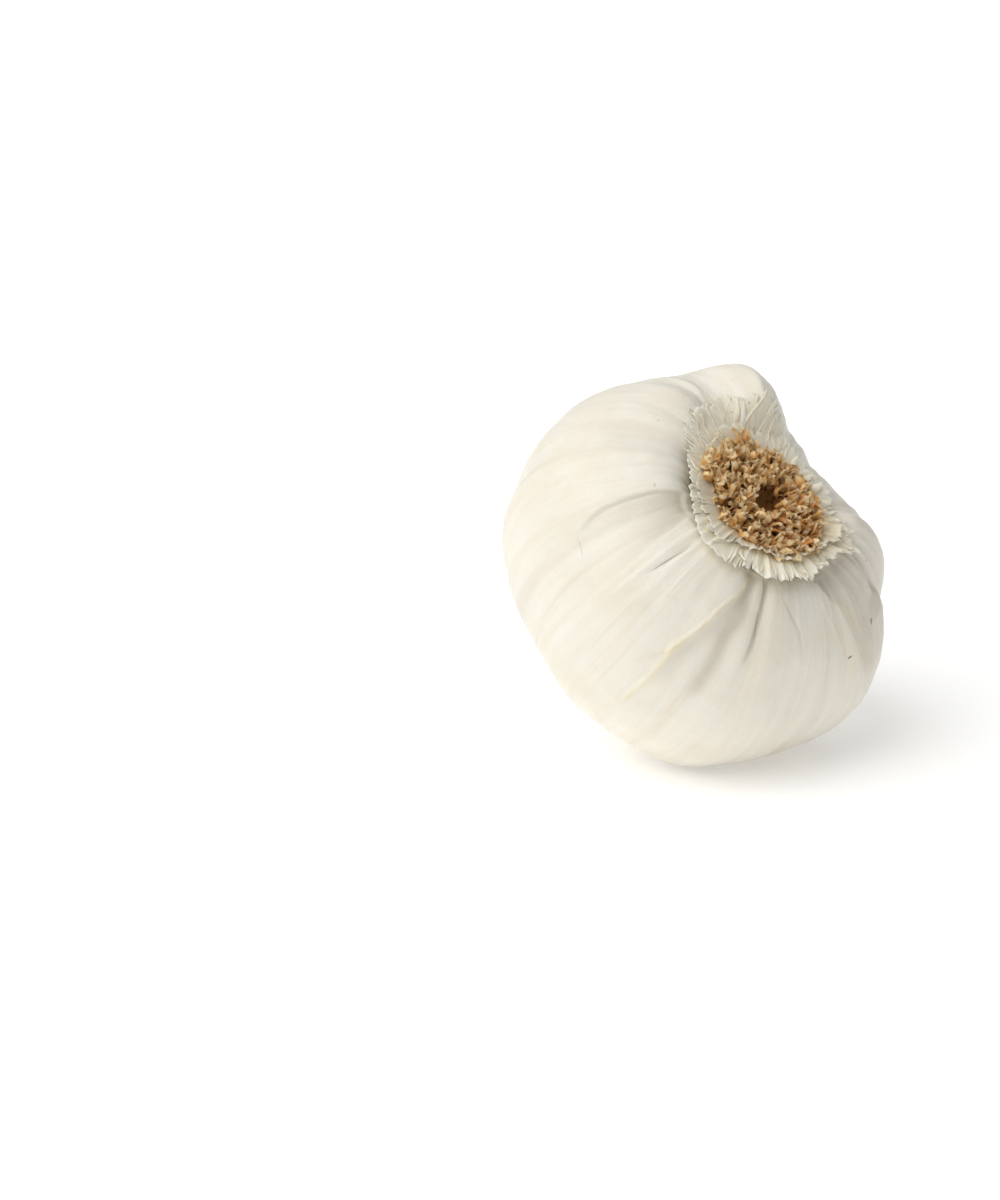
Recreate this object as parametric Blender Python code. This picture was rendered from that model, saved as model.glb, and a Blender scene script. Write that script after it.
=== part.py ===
"""A bulb of garlic lying on its side, its roots up and its neck down behind it.

The cloves and the papery skin round them are one solid, swept from a meridian that runs from the roots
to the cut neck. Creases between the cloves, a fuller clove on one side and a torn flake stand on it.
A pleated, torn collar of old skin, the mat of dried root stubs and the dry core of the stalk are separate.

Local frame: z along the bulb's own axis towards the roots, angles counted round that axis, millimetres.
The finished part is in metres, +Z up, origin in the middle of its footprint on the ground.
"""
import math
import random

import bmesh
import bpy
import numpy as np
from mathutils import Matrix, Vector

MM = 0.001

# Direction of the bulb's axis as it lies, from the neck to the roots.
LEAN = (0.4832, -0.4917, 0.7244)
# The ground cuts this much off the lowest lobes, which leaves them small flat spots.
REST_FLAT = 0.45
# Smallest gap between two neighbouring pieces.
CLEARANCE = 0.35
# Extra room for the flats of the mesh, which lie off the smooth form.
FACET_SLACK = 0.1

# Meridian of the skin from the dimple under the roots to the cut end of the neck: radius, height.
MERIDIAN = (
    (4.6, 13.9), (8.9, 14.1), (10.3, 15.4), (11.7, 17.0), (14.2, 17.8), (18.7, 16.9), (25.6, 11.6),
    (30.4, 2.6), (30.4, -7.0), (26.6, -15.0), (19.6, -20.6), (12.4, -23.8), (8.0, -26.8), (6.0, -30.4),
    (5.4, -33.8),
)
EQUATOR_R = 31.0
# Step along the meridian by which its direction is measured.
NUDGE = 1e-4
# Radius of the bulb by angle round its axis.
GIRTH = (
    (0, 27.5), (20, 28.6), (42, 29.5), (64, 30.4), (88, 29.3), (113, 32.1), (135, 28.4), (155, 29.7),
    (178, 28.0), (198, 27.0), (216, 29.1), (230, 33.2), (242, 34.4), (252, 31.9), (262, 33.4), (272, 32.9),
    (285, 31.7), (300, 31.3), (318, 31.0), (338, 28.8),
)
# How far the shoulder by the roots stands above its general height, by angle.
CREST = (
    (0, 0.0), (90, 0.0), (120, -0.5), (150, 1.7), (178, -1.9), (198, -0.3), (214, -0.9), (228, 2.4),
    (240, 6.1), (252, 1.9), (262, -0.2), (275, 2.2), (290, 0.2), (320, 0.0),
)
# Creases between the cloves: angle, depth by the roots, depth at the widest part.
CREASES = (
    (31, 0.5, 0.4), (47, 1.1, 0.6), (58, 0.9, 0.4), (74, 0.5, 0.4), (101, 1.3, 0.9), (133, 0.6, 0.8),
    (165, 0.6, 1.0), (198, 1.6, 1.4), (218, 0.6, 0.4), (236, 0.2, 0.9), (267, 1.3, 1.3), (308, 0.6, 1.0),
    (347, 1.4, 0.8),
)
CREASE_REACH_DEG = 34.0
RING = 1440
RING_DEG = np.arange(RING) * 360.0 / RING

# A torn flake of skin that stands off the side: angle, height, half widths, rise.
FLAKE_DEG = 124.0
FLAKE_H = 8.5
FLAKE_HALF_DEG = 8.0
FLAKE_HALF_H = 5.5
FLAKE_RISE = 1.0

# The neck: twist and sideways bend from shoulder to tip, and its lengthwise pleats.
NECK_TOP_H = -26.0
TWIST_DEG = 34.0
NECK_BEND = 3.5
NECK_PLEATS = ((9, 0.28, 0.4), (14, 0.22, 2.1), (19, 0.14, 4.0))
# The cut end inside its rim: share of the rim's radius, depth below the rim.
CUT_STEPS = ((0.88, 0.0), (0.66, 0.35), (0.40, 0.75))
CUT_FLOOR = 0.8

# Where one form gives way to the next, as (start, end): heights for h, radii for r.
FADES = {
    "h_by_roots": (-4.0, 12.0),
    "r_root_creases": (9.0, 13.5),
    "r_side_creases": (8.0, 20.0),
    "r_girth": (8.5, 20.0),
    "h_crest": (2.0, 16.0),
    "r_crest": (11.0, 16.5),
    "h_pleats": (-29.0, -20.0),
    "h_neck": (-36.0, -16.0),
}

SKIN_COLUMNS = 96
SKIN_ROWS = 30

# Collar of torn skin round the roots.
COLLAR_COLUMNS = 120
COLLAR_INNER_R = 9.8
COLLAR_THICK = 0.65
COLLAR_SHARES = (0.0, 0.18, 0.40, 0.72, 1.0)
# Least height of the collar, by radius: it bridges the dimple round the roots.
COLLAR_BRIDGE = ((9.8, 16.2), (10.7, 17.3), (11.8, 17.9), (14.2, 18.1), (20.0, 18.1))
# Part of the meridian that runs under the collar.
COLLAR_SPAN = (0.08, 0.42)
# Outer radius of the collar and how far its edge stands off the skin, by angle.
COLLAR_REACH = (
    (0, 14.4), (15, 16.2), (30, 16.0), (46, 15.0), (60, 15.5), (76, 14.5), (95, 13.8), (112, 13.6),
    (120, 13.5), (128, 15.1), (137, 15.3), (144, 13.6), (156, 12.4), (200, 12.0), (222, 14.6), (244, 17.8),
    (262, 18.4), (280, 16.2), (310, 13.2), (335, 12.4),
)
COLLAR_LIFT = (
    (0, 0.4), (30, 0.5), (56, 0.8), (90, 0.8), (116, 0.8), (132, 1.1), (148, 0.4), (165, 0.1), (200, 0.1),
    (250, 0.1), (300, 0.2), (330, 0.5),
)
PLEAT_DEG = 8.0
PLEAT_RISE = 0.34
TORN_EDGE = 0.9

# Root plate and its stubs.
PLATE_R = 9.3
PLATE_BASE_H = 14.5
PLATE_RIM_H = 17.2
PLATE_TOP_H = 18.0
PLATE_SIDES = 24
PLATE_TAPER = 0.94
CRATER_AT = (-1.2, 0.6)
CRATER_R = 2.5
CRATER_DEEP = 1.3
STUB_PITCH = 1.5
STUB_EDGE = 0.6
STUB_CIRCLES = 5
STUB_SUNK = 1.1
STUB_LENGTH = (3.0, 4.8)
STUB_WIDTH = (0.64, 0.9)
STUB_FLATNESS = 0.62
STUB_RINGS = 4
STUB_SIDES = 4
STUB_LEAN_DEG = 57.0
STUB_CURL = 0.36
STUB_TAPER = 0.16
# Direction that no stub runs along, from which its sides are measured.
STUB_SIDE = (0.3, 0.8, 0.1)
# Steps by which a stub is drawn upright, and its least height over the collar.
STUB_EASES = (0.0, 0.15, 0.3, 0.45, 0.6, 0.8)
STUB_CLEAR = 0.5

# Dry core of the stalk in the neck's cut end.
TIP_R = 1.35
TIP_LENGTH = 2.3
TIP_SIDES = 9
TIP_POINT = 0.15

COLOURS = {
    "skin_white": (0.86, 0.82, 0.74),
    "collar_cream": (0.84, 0.78, 0.62),
    "root_tan": (0.48, 0.31, 0.15),
    "stalk_tan": (0.52, 0.36, 0.18),
}
ROUGHNESS = {"skin_white": 0.45, "collar_cream": 0.65, "root_tan": 0.85, "stalk_tan": 0.85}


def clear_scene():
    """Remove every object that is in the scene at the start."""
    for item in list(bpy.data.objects):
        bpy.data.objects.remove(item, do_unlink=True)


def material(name):
    """Plain surface of one colour."""
    made = bpy.data.materials.new(name)
    made.use_nodes = True
    shader = made.node_tree.nodes["Principled BSDF"]
    shader.inputs["Base Color"].default_value = (*COLOURS[name], 1.0)
    shader.inputs["Roughness"].default_value = ROUGHNESS[name]
    return made


def ramp(low, high, x):
    """Smooth step from 0 at low to 1 at high."""
    share = np.clip((x - low) / (high - low), 0.0, 1.0)
    return share * share * (3.0 - 2.0 * share)


def fade(name, x):
    """Share from 0 to 1 of a form at the given height or radius."""
    return ramp(*FADES[name], x)


def blurred(ring, degrees):
    """A ring of values smoothed by a bell curve of the given width."""
    order = np.arange(RING // 2 + 1)
    spread = math.radians(degrees)
    return np.fft.irfft(np.fft.rfft(ring) * np.exp(-0.5 * (order * spread) ** 2), RING)


def ring_through(pairs, blur):
    """Ring of values through (angle, value) pairs, smoothed."""
    table = np.array(pairs, float)
    return blurred(np.interp(RING_DEG, table[:, 0], table[:, 1], period=360.0), blur)


def crease_ring(column, power, blur):
    """Depth of the creases by angle: a V at each, rounded up to the clove between two of them."""
    table = np.array(CREASES, float)
    at = np.r_[table[:, 0], table[0, 0] + 360.0]
    depth = np.r_[table[:, column], table[0, column]]
    angle = np.where(RING_DEG < at[0], RING_DEG + 360.0, RING_DEG)
    left = np.clip(np.searchsorted(at, angle, side="right") - 1, 0, len(at) - 2)
    width = at[left + 1] - at[left]
    share = (angle - at[left]) / width
    reach = np.minimum(1.0, CREASE_REACH_DEG / width)
    from_left = np.clip(1.0 - share / reach, 0.0, None) ** power
    from_right = np.clip(1.0 - (1.0 - share) / reach, 0.0, None) ** power
    return blurred(-(depth[left] * from_left + depth[left + 1] * from_right), blur)


FORM = {
    "girth": ring_through(GIRTH, 4.0) / EQUATOR_R,
    "crest": ring_through(CREST, 5.0),
    "root_crease": crease_ring(1, 2.6, 1.4),
    "side_crease": crease_ring(2, 2.2, 3.0),
    "reach": ring_through(COLLAR_REACH, 2.0),
    "lift": ring_through(COLLAR_LIFT, 5.0),
}


def form_at(name, degrees):
    """Value of one of the rings at the given angles."""
    return np.interp(degrees, RING_DEG, FORM[name], period=360.0)


def meridian(shares):
    """Points on a smooth curve through the meridian table."""
    points = np.array(MERIDIAN, float)
    chords = np.linalg.norm(np.diff(points, axis=0), axis=1)
    knots = np.r_[0.0, np.cumsum(np.sqrt(chords))]
    knots /= knots[-1]
    slope = np.gradient(points, knots, axis=0)
    j = np.clip(np.searchsorted(knots, shares, side="right") - 1, 0, len(points) - 2)
    span = (knots[j + 1] - knots[j])[:, None]
    t = (shares - knots[j])[:, None] / span
    return (
        (2 * t**3 - 3 * t**2 + 1) * points[j]
        + (t**3 - 2 * t**2 + t) * span * slope[j]
        + (3 * t**2 - 2 * t**3) * points[j + 1]
        + (t**3 - t**2) * span * slope[j + 1]
    )


def skin_point_rows(shares, degrees):
    """Grid of local points of the skin: shares along the meridian, degrees round the axis."""
    line = meridian(shares)
    run = meridian(np.clip(shares + NUDGE, 0, 1)) - meridian(np.clip(shares - NUDGE, 0, 1))
    run /= np.linalg.norm(run, axis=1)[:, None]
    rho = line[:, :1]
    h = line[:, 1:]
    out_rho = -run[:, 1:]
    out_h = run[:, :1]
    angle = degrees[None, :]

    by_roots = fade("h_by_roots", h)
    push = form_at("root_crease", angle) * by_roots * fade("r_root_creases", rho)
    push = push + form_at("side_crease", angle) * (1.0 - by_roots) * fade("r_side_creases", rho)
    push = push + flake_rise(angle, h)
    pleat = sum(deep * np.cos(np.radians(angle) * n + turn) for n, deep, turn in NECK_PLEATS)
    pleat = pleat * (1.0 - fade("h_pleats", h))

    wider = 1.0 + (form_at("girth", angle) - 1.0) * fade("r_girth", rho)
    radius = rho * wider + out_rho * push + pleat
    height = h + form_at("crest", angle) * fade("h_crest", h) * fade("r_crest", rho) + out_h * push
    neck = 1.0 - fade("h_neck", height)
    turned = np.radians(angle + TWIST_DEG * neck)
    x = radius * np.cos(turned) - NECK_BEND * neck**1.5
    y = radius * np.sin(turned)
    return np.stack([x, y, height], -1)


def flake_rise(angle, h):
    """Height of the torn flake over the skin: it climbs slowly and drops at its far edges."""
    across = (angle - FLAKE_DEG) / FLAKE_HALF_DEG
    along = (h - FLAKE_H) / FLAKE_HALF_H
    sides = ramp(-1.6, 0.2, across) * (1.0 - ramp(0.8, 1.2, across))
    ends = ramp(-1.7, 0.0, along) * (1.0 - ramp(0.8, 1.1, along))
    return FLAKE_RISE * sides * ends


def lean_matrix():
    """Rotation from the local frame to the pose in which the bulb lies."""
    axis = Vector(LEAN).normalized()
    across = axis.cross(Vector((0.0, 0.0, 1.0))).normalized()
    return Matrix((across, axis.cross(across), axis)).transposed()


def laid(points):
    """Local points turned into the lying pose, still in millimetres."""
    turn = np.array(lean_matrix())
    return np.asarray(points, float) @ turn.T


def tube_faces(rows, columns):
    """Quads between successive rings of a tube, facing out for rings that run towards -z."""
    faces = []
    for r in range(rows - 1):
        for c in range(columns):
            n = (c + 1) % columns
            faces.append((r * columns + c, r * columns + n, (r + 1) * columns + n, (r + 1) * columns + c))
    return faces


def fan_faces(ring_start, columns, centre, flip):
    """Triangles from a ring to one centre vertex."""
    faces = []
    for c in range(columns):
        n = (c + 1) % columns
        trio = (ring_start + c, ring_start + n, centre)
        faces.append(trio[::-1] if flip else trio)
    return faces


def solid(name, vertices, faces, slot):
    """Mesh object from millimetre vertices, triangulated and facing out."""
    mesh = bpy.data.meshes.new(name)
    mesh.from_pydata([tuple(v) for v in np.asarray(vertices, float) * MM], [], faces)
    made = bpy.data.objects.new(name, mesh)
    bpy.context.scene.collection.objects.link(made)
    work = bmesh.new()
    work.from_mesh(mesh)
    bmesh.ops.triangulate(work, faces=work.faces[:])
    bmesh.ops.recalc_face_normals(work, faces=work.faces[:])
    work.to_mesh(mesh)
    work.free()
    mesh.materials.append(bpy.data.materials.get(slot) or material(slot))
    return made


def skin_vertices():
    """Local vertices of the skin with its cut end, and the face list."""
    shares = np.linspace(0.0, 1.0, SKIN_ROWS)
    degrees = np.arange(SKIN_COLUMNS) * 360.0 / SKIN_COLUMNS
    rows = list(skin_point_rows(shares, degrees))
    rim = rows[-1]
    middle = rim.mean(axis=0)
    for share, deep in CUT_STEPS:
        rows.append(middle + (rim - middle) * share + np.array([0.0, 0.0, deep]))
    count = len(rows)
    root_centre = rows[0].mean(axis=0)
    cut_centre = middle + np.array([0.0, 0.0, CUT_FLOOR])
    vertices = np.vstack(rows + [root_centre, cut_centre])
    faces = tube_faces(count, SKIN_COLUMNS)
    faces += fan_faces(0, SKIN_COLUMNS, count * SKIN_COLUMNS, True)
    faces += fan_faces((count - 1) * SKIN_COLUMNS, SKIN_COLUMNS, count * SKIN_COLUMNS + 1, False)
    return vertices, faces


def make_bulb():
    """Cloves in their skin with the neck: one solid, flattened where it meets the ground."""
    vertices, faces = skin_vertices()
    placed = laid(vertices)
    lobes = vertices[:, 2] > NECK_TOP_H
    ground = placed[lobes, 2].min() + REST_FLAT
    placed[:, 2] = np.maximum(placed[:, 2], ground)
    return solid("bulb", placed, faces, "skin_white"), ground


def skin_height(radius, degrees):
    """Height of the skin under the collar at each (radius, angle)."""
    shares = np.linspace(*COLLAR_SPAN, 120)
    found = []
    for r, d in zip(radius, degrees):
        line = skin_point_rows(shares, np.array([d]))[:, 0]
        out = np.hypot(line[:, 0], line[:, 1])
        found.append(np.interp(r, out, line[:, 2]))
    return np.array(found)


def collar_pleats(degrees, rng):
    """Folds of the collar by angle, uneven in width and height."""
    turn = 0.0
    heights = []
    edges = []
    while turn < 360.0:
        edges.append(turn)
        heights.append(rng.uniform(0.6, 1.0) * (1.0 if len(edges) % 2 else -1.0))
        turn += PLEAT_DEG * 0.5 * rng.uniform(0.7, 1.4)
    return np.interp(degrees, edges, heights, period=360.0)


def make_collar():
    """Pleated collar of torn skin: a closed ring with a ragged edge. Also its radii and top heights."""
    rng = random.Random(11)
    degrees = np.arange(COLLAR_COLUMNS) * 360.0 / COLLAR_COLUMNS
    pleats = collar_pleats(degrees, rng)
    torn = np.array([rng.uniform(-1.0, 0.6) for _ in degrees]) * TORN_EDGE
    outer = form_at("reach", degrees) + torn
    lift = form_at("lift", degrees)
    rings = []
    for share in COLLAR_SHARES:
        radius = COLLAR_INNER_R + (outer - COLLAR_INNER_R) * share
        under = skin_height(radius, degrees) + CLEARANCE + FACET_SLACK
        under = np.maximum(under, np.interp(radius, *np.array(COLLAR_BRIDGE).T))
        fold = (PLEAT_RISE * (1.0 + pleats)) * ramp(0.1, 0.8, share)
        rings.append((radius, under + lift * share**1.6 + fold))
    turn = np.radians(degrees)
    lower = [np.stack([r * np.cos(turn), r * np.sin(turn), h], -1) for r, h in rings]
    upper = [ring + np.array([0.0, 0.0, COLLAR_THICK]) for ring in lower]
    loop = upper + lower[::-1]
    count = len(loop)
    faces = tube_faces(count, COLLAR_COLUMNS)
    last = (count - 1) * COLLAR_COLUMNS
    for c in range(COLLAR_COLUMNS):
        n = (c + 1) % COLLAR_COLUMNS
        faces.append((last + c, last + n, n, c))
    made = solid("skin_collar", laid(np.vstack(loop)), faces, "collar_cream")
    tops = np.array([h + COLLAR_THICK for _, h in rings])
    return made, (np.array([r for r, _ in rings]), tops)


def plate_height(x, y):
    """Top of the root plate: a low dome with a bowl in it."""
    rho = math.hypot(x, y) / PLATE_R
    dome = PLATE_TOP_H + (PLATE_RIM_H - PLATE_TOP_H) * rho**2
    away = math.hypot(x - CRATER_AT[0], y - CRATER_AT[1]) / CRATER_R
    return dome - CRATER_DEEP * float(1.0 - ramp(0.2, 1.1, away))


def make_plate():
    """Root plate: a thick disc with the bowl in its top."""
    rows = []
    for share in (0.2, 0.4, 0.6, 0.8, 1.0):
        ring = []
        for c in range(PLATE_SIDES):
            turn = 2.0 * math.pi * c / PLATE_SIDES
            x = PLATE_R * share * math.cos(turn)
            y = PLATE_R * share * math.sin(turn)
            ring.append((x, y, plate_height(x, y)))
        rows.append(ring)
    base = [(x * PLATE_TAPER, y * PLATE_TAPER, PLATE_BASE_H) for x, y, _ in rows[-1]]
    rows.append(base)
    vertices = [p for ring in rows for p in ring]
    vertices.append((0.0, 0.0, plate_height(0.0, 0.0)))
    vertices.append((0.0, 0.0, PLATE_BASE_H))
    faces = tube_faces(len(rows), PLATE_SIDES)
    faces += fan_faces(0, PLATE_SIDES, len(vertices) - 2, True)
    faces += fan_faces((len(rows) - 1) * PLATE_SIDES, PLATE_SIDES, len(vertices) - 1, False)
    return solid("roots", laid(vertices), faces, "root_tan")


def stub_places(rng):
    """Places of the stubs on the plate: circles round its middle, none in the bowl."""
    places = []
    for circle in range(1, STUB_CIRCLES + 1):
        radius = (PLATE_R - STUB_EDGE) * circle / STUB_CIRCLES
        count = int(2.0 * math.pi * radius / STUB_PITCH)
        start = rng.uniform(0.0, 6.28)
        for k in range(count):
            turn = start + 2.0 * math.pi * (k + rng.uniform(-0.15, 0.15)) / count
            x = radius * math.cos(turn)
            y = radius * math.sin(turn)
            if math.hypot(x - CRATER_AT[0], y - CRATER_AT[1]) > CRATER_R:
                places.append((x, y))
    return places


def stub_plan(x, y, rng):
    """Random choices for one stub: foot, lean, heading, length, width, roll and bend."""
    spread = math.hypot(x, y) / PLATE_R
    return {
        "foot": Vector((x, y, plate_height(x, y))),
        "away": math.atan2(y, x) + rng.uniform(-0.7, 0.7),
        "lean": math.radians(STUB_LEAN_DEG) * spread**1.3 + rng.uniform(-0.2, 0.2),
        "length": rng.uniform(*STUB_LENGTH),
        "width": rng.uniform(*STUB_WIDTH),
        "roll": rng.uniform(0.0, math.pi),
        "bend": Vector((rng.uniform(-1, 1), rng.uniform(-1, 1), rng.uniform(-0.3, 0.3))),
    }


def stub_vertices(plan, ease):
    """One curled, flattened stub: rings of four corners from under the plate to its cut end.

    The ease, from 0 to 1, draws the stub upright and straight, away from the collar round it.
    """
    lean = plan["lean"] * (1.0 - ease)
    away = plan["away"]
    width = plan["width"]
    roll = plan["roll"]
    bend = plan["bend"] * (1.0 - ease)
    heading = Vector((math.sin(lean) * math.cos(away), math.sin(lean) * math.sin(away), math.cos(lean)))
    at = plan["foot"] - heading * STUB_SUNK
    step = (plan["length"] + STUB_SUNK) / (STUB_RINGS - 1)
    rings = []
    for k in range(STUB_RINGS):
        side = heading.cross(Vector(STUB_SIDE)).normalized()
        other = heading.cross(side)
        taper = 1.0 - STUB_TAPER * k / (STUB_RINGS - 1)
        for corner in range(STUB_SIDES):
            turn = roll + 2.0 * math.pi * corner / STUB_SIDES
            wide = math.cos(turn - roll)
            thin = math.sin(turn - roll) * STUB_FLATNESS
            aside = side * (wide * math.cos(roll) - thin * math.sin(roll))
            aside = aside + other * (wide * math.sin(roll) + thin * math.cos(roll))
            rings.append(tuple(at + aside * width * taper))
        heading = (heading + bend * STUB_CURL).normalized()
        at = at + heading * step
    return rings


def over_collar(x, y, collar):
    """Height of the collar's top over a place near the roots."""
    radii, heights = collar
    column = math.degrees(math.atan2(y, x)) % 360.0 * COLLAR_COLUMNS / 360.0
    here = int(column) % COLLAR_COLUMNS
    both = (here, (here + 1) % COLLAR_COLUMNS)
    rho = math.hypot(x, y)
    return max(float(np.interp(rho, radii[:, c], heights[:, c])) for c in both)


def clear_stub(plan, collar):
    """Stub eased until it keeps clear of the collar, or nothing when it can't."""
    for ease in STUB_EASES:
        points = stub_vertices(plan, ease)
        outside = [p for p in points if math.hypot(p[0], p[1]) > PLATE_R]
        if all(h > over_collar(x, y, collar) + STUB_CLEAR for x, y, h in outside):
            return points
    return None


def stub_faces():
    """Faces of one stub, the same for all."""
    faces = []
    for r in range(STUB_RINGS - 1):
        for c in range(STUB_SIDES):
            n = (c + 1) % STUB_SIDES
            low = r * STUB_SIDES
            high = low + STUB_SIDES
            faces.append((low + c, low + n, high + n, high + c))
    faces.append(tuple(range(STUB_SIDES))[::-1])
    top = (STUB_RINGS - 1) * STUB_SIDES
    faces.append(tuple(top + c for c in range(STUB_SIDES)))
    return faces


def keep_outside(made):
    """Drop loose scraps and sealed hollows, so that one outer skin is left."""
    work = bmesh.new()
    work.from_mesh(made.data)
    left = set(work.verts)
    groups = []
    while left:
        seed = left.pop()
        group = {seed}
        edge = [seed]
        while edge:
            here = edge.pop()
            for link in here.link_edges:
                there = link.other_vert(here)
                if there in left:
                    left.discard(there)
                    group.add(there)
                    edge.append(there)
        groups.append(group)
    groups.sort(key=len, reverse=True)
    for group in groups[1:]:
        bmesh.ops.delete(work, geom=list(group), context="VERTS")
    work.to_mesh(made.data)
    work.free()


def make_roots(collar):
    """Root plate with its mat of dried, cut stubs, joined to one solid and clear of the collar."""
    rng = random.Random(5)
    plate = make_plate()
    group = bpy.data.collections.new("stubs")
    bpy.context.scene.collection.children.link(group)
    faces = stub_faces()
    for x, y in stub_places(rng):
        points = clear_stub(stub_plan(x, y, rng), collar)
        if points is None:
            continue
        stub = solid("stub", laid(points), faces, "root_tan")
        bpy.context.scene.collection.objects.unlink(stub)
        group.objects.link(stub)
    union = plate.modifiers.new("union", "BOOLEAN")
    union.operation = "UNION"
    union.operand_type = "COLLECTION"
    union.collection = group
    union.solver = "MANIFOLD"
    bpy.context.view_layer.update()
    joined = plate.evaluated_get(bpy.context.evaluated_depsgraph_get())
    mesh = bpy.data.meshes.new_from_object(joined)
    plate.modifiers.clear()
    plate.data = mesh
    for stub in list(group.objects):
        bpy.data.objects.remove(stub, do_unlink=True)
    bpy.data.collections.remove(group)
    keep_outside(plate)
    return plate


def make_stalk_tip():
    """Dry core of the stalk, standing a little out of the neck's cut end."""
    rng = random.Random(3)
    rim = skin_point_rows(np.array([1.0]), RING_DEG[::15])[0].mean(axis=0)
    start = rim[2] + CUT_FLOOR - CLEARANCE - FACET_SLACK
    rows = []
    for share, wide in ((0.0, 0.82), (0.25, 1.0), (0.85, 0.9), (1.0, 0.66)):
        ring = []
        for c in range(TIP_SIDES):
            turn = 2.0 * math.pi * c / TIP_SIDES
            reach = TIP_R * wide * rng.uniform(0.88, 1.06)
            x = rim[0] + reach * math.cos(turn)
            y = rim[1] + reach * math.sin(turn)
            ring.append((x, y, start - share * TIP_LENGTH))
        rows.append(ring)
    vertices = [p for ring in rows for p in ring]
    vertices.append((rim[0], rim[1], start))
    vertices.append((rim[0], rim[1], start - TIP_LENGTH - TIP_POINT))
    faces = tube_faces(len(rows), TIP_SIDES)
    faces += fan_faces(0, TIP_SIDES, len(vertices) - 2, True)
    faces += fan_faces((len(rows) - 1) * TIP_SIDES, TIP_SIDES, len(vertices) - 1, False)
    return solid("stalk_tip", laid(vertices), faces, "stalk_tan")


def settle(pieces, ground):
    """Move every piece so that the ground is z = 0 and the footprint's middle is the origin."""
    corners = np.array([tuple(v.co) for piece in pieces for v in piece.data.vertices])
    low = corners.min(axis=0)
    high = corners.max(axis=0)
    shift = Vector((-(low[0] + high[0]) / 2.0, -(low[1] + high[1]) / 2.0, -ground * MM))
    for piece in pieces:
        piece.data.transform(Matrix.Translation(shift))


def main():
    clear_scene()
    bulb, ground = make_bulb()
    collar, collar_shape = make_collar()
    pieces = [bulb, collar, make_roots(collar_shape), make_stalk_tip()]
    settle(pieces, ground)


main()
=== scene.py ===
"""Looks of the garlic bulb: finer skin, neck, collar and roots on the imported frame, with light and camera.

Lengths in the form code are millimetres in the bulb's own frame: z along its axis towards the roots,
angles in degrees round that axis. Finished meshes are in metres, in the part's frame.
"""
import math
import random

import bpy
import numpy as np
from mathutils import Matrix, Vector


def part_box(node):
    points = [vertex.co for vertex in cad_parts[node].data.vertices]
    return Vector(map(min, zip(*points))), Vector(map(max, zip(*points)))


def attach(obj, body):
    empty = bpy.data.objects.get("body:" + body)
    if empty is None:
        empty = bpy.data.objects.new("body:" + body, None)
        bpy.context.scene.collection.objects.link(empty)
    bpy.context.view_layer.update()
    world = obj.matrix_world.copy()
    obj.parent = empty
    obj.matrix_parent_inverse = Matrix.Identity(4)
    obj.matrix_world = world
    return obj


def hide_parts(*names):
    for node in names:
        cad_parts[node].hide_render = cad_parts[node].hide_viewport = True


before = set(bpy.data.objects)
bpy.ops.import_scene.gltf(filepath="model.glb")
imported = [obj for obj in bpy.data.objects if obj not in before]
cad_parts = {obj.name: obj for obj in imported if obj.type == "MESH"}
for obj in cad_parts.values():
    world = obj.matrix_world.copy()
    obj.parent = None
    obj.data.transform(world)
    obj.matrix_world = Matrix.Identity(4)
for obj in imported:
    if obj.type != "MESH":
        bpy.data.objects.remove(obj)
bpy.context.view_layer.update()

MM = 0.001
UP = np.array([0.0, 0.0, 1.0])

# The form of the bulb, as in the part's source.
LEAN = (0.4832, -0.4917, 0.7244)
MERIDIAN = (
    (4.6, 13.9), (8.9, 14.1), (10.3, 15.4), (11.7, 17.0), (14.2, 17.8), (18.7, 16.9), (25.6, 11.6),
    (30.4, 2.6), (30.4, -7.0), (26.6, -15.0), (19.6, -20.6), (12.4, -23.8), (8.0, -26.8), (6.0, -30.4),
    (5.4, -33.8),
)
EQUATOR_R = 31.0
NUDGE = 1e-4
GIRTH = (
    (0, 27.5), (20, 28.6), (42, 29.5), (64, 30.4), (88, 29.3), (113, 32.1), (135, 28.4), (155, 29.7),
    (178, 28.0), (198, 27.0), (216, 29.1), (230, 33.2), (242, 34.4), (252, 31.9), (262, 33.4), (272, 32.9),
    (285, 31.7), (300, 31.3), (318, 31.0), (338, 28.8),
)
CREST = (
    (0, 0.0), (90, 0.0), (120, -0.5), (150, 1.7), (178, -1.9), (198, -0.3), (214, -0.9), (228, 2.4),
    (240, 6.1), (252, 1.9), (262, -0.2), (275, 2.2), (290, 0.2), (320, 0.0),
)
CREASES = (
    (31, 0.5, 0.4), (47, 1.1, 0.6), (58, 0.9, 0.4), (74, 0.5, 0.4), (101, 1.3, 0.9), (133, 0.6, 0.8),
    (165, 0.6, 1.0), (198, 1.6, 1.4), (218, 0.6, 0.4), (236, 0.2, 0.9), (267, 1.3, 1.3), (308, 0.6, 1.0),
    (347, 1.4, 0.8),
)
CREASE_REACH_DEG = 34.0
RING = 1440
FLAKE_DEG = 124.0
FLAKE_H = 8.5
FLAKE_HALF_DEG = 8.0
FLAKE_HALF_H = 5.5
FLAKE_RISE = 1.0
TWIST_DEG = 34.0
NECK_BEND = 3.5
NECK_PLEATS = ((9, 0.28, 0.4), (14, 0.22, 2.1), (19, 0.14, 4.0))
FADES = {
    "h_by_roots": (-4.0, 12.0),
    "r_root_creases": (9.0, 13.5),
    "r_side_creases": (8.0, 20.0),
    "r_girth": (8.5, 20.0),
    "h_crest": (2.0, 16.0),
    "r_crest": (11.0, 16.5),
    "h_pleats": (-29.0, -20.0),
    "h_neck": (-36.0, -16.0),
}
CAD_COLUMNS = 96
CAD_ROWS = 30

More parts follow.
